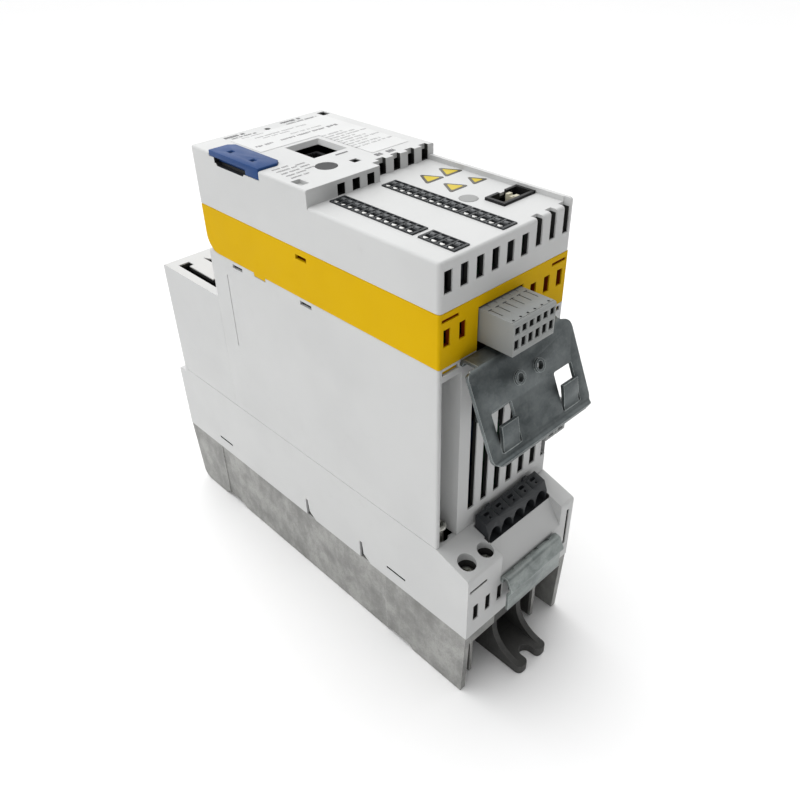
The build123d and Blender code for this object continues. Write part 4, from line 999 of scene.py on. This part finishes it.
@dataclass
class SafetyPlug:
    """Grey plug with two rows of wire entries."""

    poles: int = 6
    pitch: float = 3.81

    def build(self) -> None:
        """Model the plug's body and near-black plates in its entries, slots and dots, as painted shade."""
        low, high = seat("safety_plug")
        stations = [low.y + self.pitch * (i + 0.5) for i in range(self.poles)]
        first = stations[0]
        shifts = [(0, y - first, 0) for y in stations]
        body = prism(
            [(low.x, low.z), (high.x, low.z), (high.x, high.z - 0.7), (high.x - 0.7, high.z), (low.x, high.z)],
            Axis.Y, (low.y, high.y),
        )
        upper = funnel((high.x - 2.9, first, 178.6), (2.3, 2.3), (2.6, 2.8), 6.4, Axis.X)
        lower = funnel((high.x - 2.9, first, 173.1), (2.3, 3.2), (2.6, 3.8), 6.4, Axis.X)
        mark = prism(
            [(high.x - 12.6, first - 1.1), (high.x - 12.1, first - 1.1), (high.x - 12.1, first - 0.22),
             (high.x - 6.6, first - 0.22), (high.x - 6.6, first + 0.22), (high.x - 12.1, first + 0.22),
             (high.x - 12.1, first + 1.1), (high.x - 12.6, first + 1.1)],
            Axis.Z, (high.z - 1.2, high.z + 1),
        )
        dot = rod((high.x - 2.1, first, high.z), 0.55, 5.0, Axis.Z, 20)
        groove = block((high.x - 1.3, high.x - 1.05), (low.y - 1, high.y + 1), (high.z - 0.3, high.z + 1))
        cutters = [repeat(cutter, shifts) for cutter in (upper, lower, mark, dot)]
        flute = block((low.x - 1, high.x - 14.0), (-0.2, 0.2), (high.z - 0.3, high.z + 1))
        cutters.append(repeat(flute, [(0, y + self.pitch / 2, 0) for y in stations[:-1]]))
        body = soften(carve(body, groove, *cutters), 0.12)
        hand_over(body, "safety_plug_body", Body.SAFETY, GREY, ["safety_plug"])
        # Near-black plates in the entries, mark slots and dots: painted shade.
        floors = [
            block((high.x - 0.75, high.x - 0.45), (y - 1.2, y + 1.2), (z - 1.75, z + 1.75))
            for y in stations for z in (173.1, 178.5)
        ]
        for y in stations:
            floors.append(block((high.x - 12.5, high.x - 12.15), (y - 1.0, y + 1.0), (high.z - 1.1, high.z - 0.12)))
            floors.append(block((high.x - 12.2, high.x - 6.7), (y - 0.2, y + 0.2), (high.z - 1.1, high.z - 0.12)))
            floors.append(rod((high.x - 2.1, y, high.z - 1.0), 0.5, 1.6, Axis.Z, 16))
        hand_over(
            soften(gather(floors), 0.1), "safety_plug_floors", Body.SAFETY, SHADE_BLACK, ["safety_plug_clamps"]
        )


@dataclass
class BrakePlug:
    """Small grey plug with two poles, under the shield bracket."""

    poles: int = 2
    pitch: float = 6.3

    def build(self) -> None:
        """Model the plug with its entries and release slots."""
        low, high = seat("brake_plug")
        stations = [low.y + self.pitch * (i + 0.5) for i in range(self.poles)]
        body = block((low.x, high.x), (low.y, high.y), (low.z, high.z))
        cutters, floors = [], []
        for y in stations:
            for z in (low.z + 2.6, low.z + 9.2):
                cutters.append(funnel((high.x - 2.9, y, z), (2.6, 2.2), (3.4, 3.0), 6.4, Axis.X))
                cutters.append(block((high.x - 3.5, high.x + 1), (y - 1.1, y + 1.1), (z + 2.5, z + 3.7)))
                # Near-black plate in each entry: painted shade.
                floors.append(block((high.x - 0.8, high.x - 0.5), (y - 1.5, y + 1.5), (z - 1.3, z + 1.3)))
        cutters.append(block((high.x - 0.8, high.x + 1), (low.y + self.pitch - 0.2, low.y + self.pitch + 0.2),
                             (low.z - 1, high.z + 1)))
        hand_over(
            soften(carve(body, *cutters), 0.2), "brake_plug_body", Body.BRAKE, GREY, ["brake_plug"]
        )
        hand_over(soften(gather(floors), 0.1), "brake_plug_floors", Body.BRAKE, SHADE_BLACK)


@dataclass
class ShieldBracket:
    """Bent sheet that carries the cable shields: windows, leaning tongues and two drawn collars."""

    sheet: float = 1.5
    bend: float = 2.2
    run: float = 14.0
    drop: float = 30.0
    ridge_back: float = 9.5
    lip: float = 2.2
    window_offset: float = 17.6
    window_wide: float = 10.8
    window: Span = (15.0, 31.0)
    tongue_wide: float = 8.8
    tongue_top: float = 20.6
    tongue_lean: float = 2.6
    hole_down: float = 9.1
    hole_pitch: float = 11.2
    hole: float = 1.65
    collar: float = 2.7
    collar_high: float = 1.5
    corner: float = 4.5
    flange: Span = (-24.4, 22.0)
    leg_half: float = 12.0

    def build(self) -> None:
        """Fold the sheet, cut it, and set the tongues and collars."""
        low, high = seat("shield_bracket")
        half = self.sheet / 2
        ridge = Vector((low.x + self.ridge_back, high.z - half + 0.1 - self.sheet))
        length = math.hypot(self.run, self.drop)
        down = Vector((self.run, -self.drop)) / length
        out = Vector((self.drop, self.run)) / length
        middle = (low.y + high.y) / 2
        back = low.x + half
        top = high.z - half
        foot = Vector((low.x + self.ridge_back + self.run - 0.7, top - 0.9 - self.drop - 0.3))
        spine = [(back, low.z + 0.1), (back, top), (low.x + self.ridge_back - 0.4, top), tuple(foot),
                 (foot.x + self.lip, foot.y - 0.5)]
        plate = prism(folded(spine, self.bend, self.sheet), Axis.Y, (low.y, high.y))
        behind = (low.x - 1, low.x + self.ridge_back - 1.4)
        leg = (low.x - 1, low.x + self.sheet + 0.02)
        plate = carve(
            plate,
            block(behind, (low.y - 1, self.flange[0]), (low.z - 1, high.z + 1)),
            block(behind, (self.flange[1], high.y + 1), (low.z - 1, high.z + 1)),
            block(leg, (self.flange[0] - 1, middle - self.leg_half), (low.z - 1, high.z - 3.4)),
            block(leg, (middle + self.leg_half, self.flange[1] + 1), (low.z - 1, high.z - 3.4)),
        )
        origin = Vector((low.x + self.ridge_back, middle, top - 0.9))
        frame_to_row = Matrix.Translation(origin * MM) @ Matrix((
            (out.x, 0, down.x, 0), (0, 1, 0, 0), (out.y, 0, down.y, 0), (0, 0, 0, 1),
        ))

        def placed(made: Piece) -> Piece:
            """Turn a piece drawn as (out, across, down) into the sheet's slant."""
            made.data.transform(frame_to_row)
            only(made)
            bpy.ops.object.mode_set(mode="EDIT")
            bpy.ops.mesh.select_all(action="SELECT")
            bpy.ops.mesh.normals_make_consistent(inside=False)
            bpy.ops.object.mode_set(mode="OBJECT")
            return made

        cutters = []
        for way in (-1, 1):
            across = (way * self.window_offset - self.window_wide / 2, way * self.window_offset + self.window_wide / 2)
            cutters.append(placed(prism(rounded(across, self.window, 0.9), Axis.X, (-4, 4))))
            edge = way * (high.y - low.y) / 2
            for end, sign in ((length + 1.6, 1), (-1.5, -1)):
                radius = self.corner if sign > 0 or way > 0 else self.corner * 0.5
                arc = [(edge + way, end + sign), (edge + way, end - sign * radius)]
                for step in range(7):
                    angle = math.pi / 2 * step / 6
                    arc.append((edge - way * radius * (1 - math.cos(angle)), end - sign * radius * (1 - math.sin(angle))))
                arc.append((edge - way * radius, end + sign))
                cutters.append(placed(prism(arc, Axis.X, (-7, 4))))
        plate = carve(plate, *cutters)
        tongues = []
        for way in (-1, 1):
            low_end = self.window[1] + 0.6
            curve = [(-half, low_end), (-half + 0.1, low_end - 2.5), (-half + 1.4, low_end - 6.0),
                     (-half + self.tongue_lean, self.tongue_top)]
            across = (way * self.window_offset - self.tongue_wide / 2, way * self.window_offset + self.tongue_wide / 2)
            outline = folded(curve, 2.6, self.sheet)
            made = prism([(u, v) for u, v in outline], Axis.Y, across)
            tongues.append(placed(made))
        for tongue in tongues:
            plate = combine(plate, tongue, "UNION")
        for way in (-0.5, 0.5):
            y = way * self.hole_pitch
            rim = rod((self.collar_high / 2 - 0.2, y, self.hole_down), self.collar, self.collar_high + 0.4, Axis.X, 36)
            plate = combine(plate, placed(rim), "UNION")
            plate = carve(plate, placed(rod((0, y, self.hole_down), self.hole, 9, Axis.X, 36)))
        plate = soften(plate, 0.22, 2, 34)
        hand_over(plate, "shield_bracket_sheet", Body.DRIVE, SHEET_METAL, ["shield_bracket"])


@dataclass
class MotorPlug:
    """Dark five-pole plug with arched wire entries."""

    poles: int = 5
    pitch: float = 7.62
    rim: float = 0.6
    arch: float = 3.25

    def build(self) -> None:
        """Model the plug's body and the floors of its entries."""
        low, high = seat("motor_plug")
        back, front = low.x + 0.5, high.x
        top = high.z - 1.0
        stations = [low.y + self.rim + self.pitch * (i + 0.5) for i in range(self.poles)]
        first = stations[0]
        shifts = [(0, y - first, 0) for y in stations]
        body = prism(
            [(back, low.z), (front, low.z), (front, top - 6.6), (front - 1.8, top - 1.8), (back, top)],
            Axis.Y, (low.y, high.y),
        )
        centre = low.z + 8.6
        outline = [(first - self.arch, low.z + 4.6), (first + self.arch, low.z + 4.6)]
        for step in range(13):
            angle = math.pi * step / 12
            outline.append((first + self.arch * math.cos(angle), centre + self.arch * math.sin(angle)))
        arch = prism(outline, Axis.X, (front - 5.0, front + 1))
        slot = block((back + 1.6, back + 2.9), (first - 1.5, first + 1.5), (top - 4, top + 1))
        dot = rod((back + 4.3, first, top - 1.5), 0.55, 5, Axis.Z, 16)
        cutters = [repeat(cutter, shifts) for cutter in (arch, slot, dot)]
        seam = block((back + 0.8, front + 1), (-0.15, 0.15), (top - 2.2, top + 1))
        cutters.append(repeat(seam, [(0, y + self.pitch / 2, 0) for y in stations[:-1]]))
        body = soften(carve(body, *cutters), 0.14)
        hooks = [
            soften(block((low.x, back + 0.9), (y - 1.4, y + 1.4), (top - 4.0, high.z)), 0.25)
            for y in (low.y + 7.4, high.y - 7.4)
        ]
        hand_over(
            gather([body, *hooks]), "motor_plug_body", Body.MOTOR, CHARCOAL, ["motor_plug"]
        )
        cage = block((front - 4.6, front - 4.2), (first - 2.0, first + 2.0), (centre - 2.0, centre + 1.8))
        cage = carve(cage, rod((front - 4.4, first, centre - 0.2), 1.3, 3, Axis.X, 20))
        hand_over(
            repeat(soften(cage, 0.08), shifts), "motor_plug_cages", Body.MOTOR, STEEL, ["motor_clamps"]
        )


@dataclass
class ClampPlate:
    """Folded retaining plate on the foot, with small lanced notches along its ridge."""

    sheet: float = 1.4
    bend: float = 1.3

    def build(self) -> None:
        """Fold the plate and cut its notches."""
        low, high = seat("clamp_plate")
        half = self.sheet / 2
        spine = [
            (low.x + half, low.z + 15.1), (low.x + half, high.z - half), (low.x + half + 2.8, high.z - half),
            (high.x - half, high.z - 6.1), (high.x - half - 1.6, high.z - 9.1), (high.x - half - 1.6, low.z + half),
        ]
        plate = prism(folded(spine, self.bend, self.sheet, 4), Axis.Y, (low.y, high.y))
        notches = [
            block((low.x - 1, low.x + 1.6), (y - 0.9, y + 0.9), (high.z - 1.1, high.z + 1))
            for y in (low.y + 6, low.y + 14.5, low.y + 22.5, low.y + 30)
        ]
        plate = soften(carve(plate, *notches), 0.2, 2, 34)
        hand_over(plate, "clamp_plate_sheet", Body.DRIVE, CLAMP_METAL, ["clamp_plate"])


@dataclass
class PanScrew:
    """Pan-head screw standing head up, with a cross recess."""

    x: float
    y: float
    seat: float
    radius: float
    head: float
    shank: float
    length: float

    def make(self) -> Piece:
        """Model the head by rounding a disc, and cut its recess."""
        head = rod((self.x, self.y, self.seat + self.head / 2), self.radius, self.head, Axis.Z, 36)
        head = soften(head, self.head * 0.45, 4)
        reach, wide = self.radius * 0.6, self.radius * 0.11
        deep = (self.seat + self.head * 0.35, self.seat + self.head + 1)
        cross = [
            block((self.x - reach, self.x + reach), (self.y - wide, self.y + wide), deep),
            block((self.x - wide, self.x + wide), (self.y - reach, self.y + reach), deep),
            funnel((self.x, self.y, self.seat + self.head * 0.7), (wide, wide), (wide * 4.4, wide * 4.4), self.head * 0.7),
        ]
        head = carve(head, *cross)
        shank = rod((self.x, self.y, self.seat - self.length / 2 + 0.05), self.shank, self.length, Axis.Z, 20)
        return gather([head, shank])


@dataclass
class Screws:
    """The foot screws and the earth screw."""

    def build(self) -> None:
        """Model the foot screws and the earth screw."""
        low, high = seat("earth_screw")
        x, y = (low.x + high.x) / 2, (low.y + high.y) / 2
        earth = PanScrew(x, y, high.z - 2.4, 3.2, 2.4, 2.0, high.z - 2.4 - low.z).make()
        hand_over(earth, "earth_screw_body", Body.DRIVE, ZINC, ["earth_screw"])
        low, high = seat("foot_screws")
        wells = [
            gather([
                PanScrew(x, y, high.z - 2.6, radius - 0.5, 2.6, 1.4, high.z - 2.6 - low.z).make(),
                soften(rod((x, y, high.z - 3.35), radius - 0.3, 1.5, Axis.Z, 32), 0.3),
            ])
            for x, y, radius in ((101.3, -28.7, 4.0), (101.9, -18.1, 3.6))
        ]
        hand_over(gather(wells), "foot_screw_bodies", Body.DRIVE, ZINC, ["foot_screws"])


@dataclass
class Studio:
    """Pale floor, soft light and the viewing camera."""

    eye: tuple[float, float, float] = (0.2410, -0.1943, 0.3118)
    right: Colour = (0.6936669737, 0.7200273515, -0.0196657729)
    down: Colour = (0.4097112517, -0.4168727422, -0.8113900462)
    ahead: Colour = (-0.5924211507, 0.5547771894, -0.5841741609)
    focal: float = 34.884
    floor: float = 12.0
    bright_end: float = 1.85
    dim_end: float = 0.15

    def area(self, name: str, place: Sequence[float], size: float, power: float, tint: Colour = (1, 1, 1)) -> None:
        """Hang a square soft light that looks at the drive."""
        bpy.ops.object.light_add(type="AREA", location=place)
        lamp = bpy.context.object
        lamp.name = name
        lamp.data.size = size
        lamp.data.energy = power
        lamp.data.color = tint
        lamp.rotation_euler = (Vector((0, 0, 0.1)) - Vector(place)).to_track_quat("-Z", "Y").to_euler()

    def sky(self) -> None:
        """Surround the drive with white light, weaker towards the connector end and plain white to look at."""
        world = bpy.data.worlds.new("studio")
        world.use_nodes = True
        tree = world.node_tree
        backdrop = tree.nodes["Background"]
        backdrop.inputs["Color"].default_value = (1.0, 1.0, 1.0, 1.0)
        place = tree.nodes.new("ShaderNodeTexCoord")
        split = tree.nodes.new("ShaderNodeSeparateXYZ")
        fade = tree.nodes.new("ShaderNodeMapRange")
        fade.inputs["From Min"].default_value = -1.0
        fade.inputs["To Min"].default_value = self.bright_end
        fade.inputs["To Max"].default_value = self.dim_end
        rays = tree.nodes.new("ShaderNodeLightPath")
        seen = tree.nodes.new("ShaderNodeMix")
        seen.inputs[3].default_value = 1.0
        tree.links.new(place.outputs["Generated"], split.inputs[0])
        tree.links.new(split.outputs["X"], fade.inputs["Value"])
        tree.links.new(rays.outputs["Is Camera Ray"], seen.inputs[0])
        tree.links.new(fade.outputs["Result"], seen.inputs[2])
        tree.links.new(seen.outputs[0], backdrop.inputs["Strength"])
        bpy.context.scene.world = world

    def build(self) -> None:
        """Lay the floor, set the lights and stand the camera."""
        bpy.ops.object.select_all(action="DESELECT")
        bpy.ops.mesh.primitive_plane_add(size=self.floor, location=(0, 0, -0.0003))
        floor = bpy.context.object
        floor.name = "studio_floor"
        shader = Shader("finish_studio_floor")
        cloud = shader.noise(160, 3)
        shader.set(
            Base_Color=shader.blend(cloud, (0.93, 0.93, 0.93), (0.95, 0.95, 0.95)), Roughness=0.8 + (cloud - 0.5) * 0.1
        )
        coat(floor, shader.material)
        self.sky()
        self.area("light_top", (-0.15, -0.05, 1.2), 0.9, 5.5)
        camera = bpy.data.objects.new("camera", bpy.data.cameras.new("camera"))
        bpy.context.collection.objects.link(camera)
        camera.data.sensor_width = 36.0
        camera.data.lens = self.focal
        camera.data.clip_start = 0.01
        turn = Matrix((Vector(self.right), -Vector(self.down), -Vector(self.ahead))).transposed()
        camera.matrix_world = Matrix.Translation(self.eye) @ turn.to_4x4()
        bpy.context.scene.camera = camera
        bpy.context.scene.view_settings.view_transform = "Standard"


def main() -> None:
    """Build the drive, group by group."""
    logging.basicConfig(level=logging.INFO, format="%(name)s %(message)s")
    builders: list[Callable[[], None]] = [
        Shells().build, FrontPrint().build, Stickers().build, MemoryModule().build,
        ControlStrip("control_terminal_a1", 11).build, ControlStrip("control_terminal_a2", 4).build,
        ControlStrip("control_terminal_b1", 10).build, ControlStrip("control_terminal_b2", 5).build,
        OptionSocket().build, SafetyPlug().build, BrakePlug().build, ShieldBracket().build, MotorPlug().build,
        ClampPlate().build, Screws().build, Studio().build,
    ]
    for build in builders:
        build()


if __name__ == "__main__":
    main()
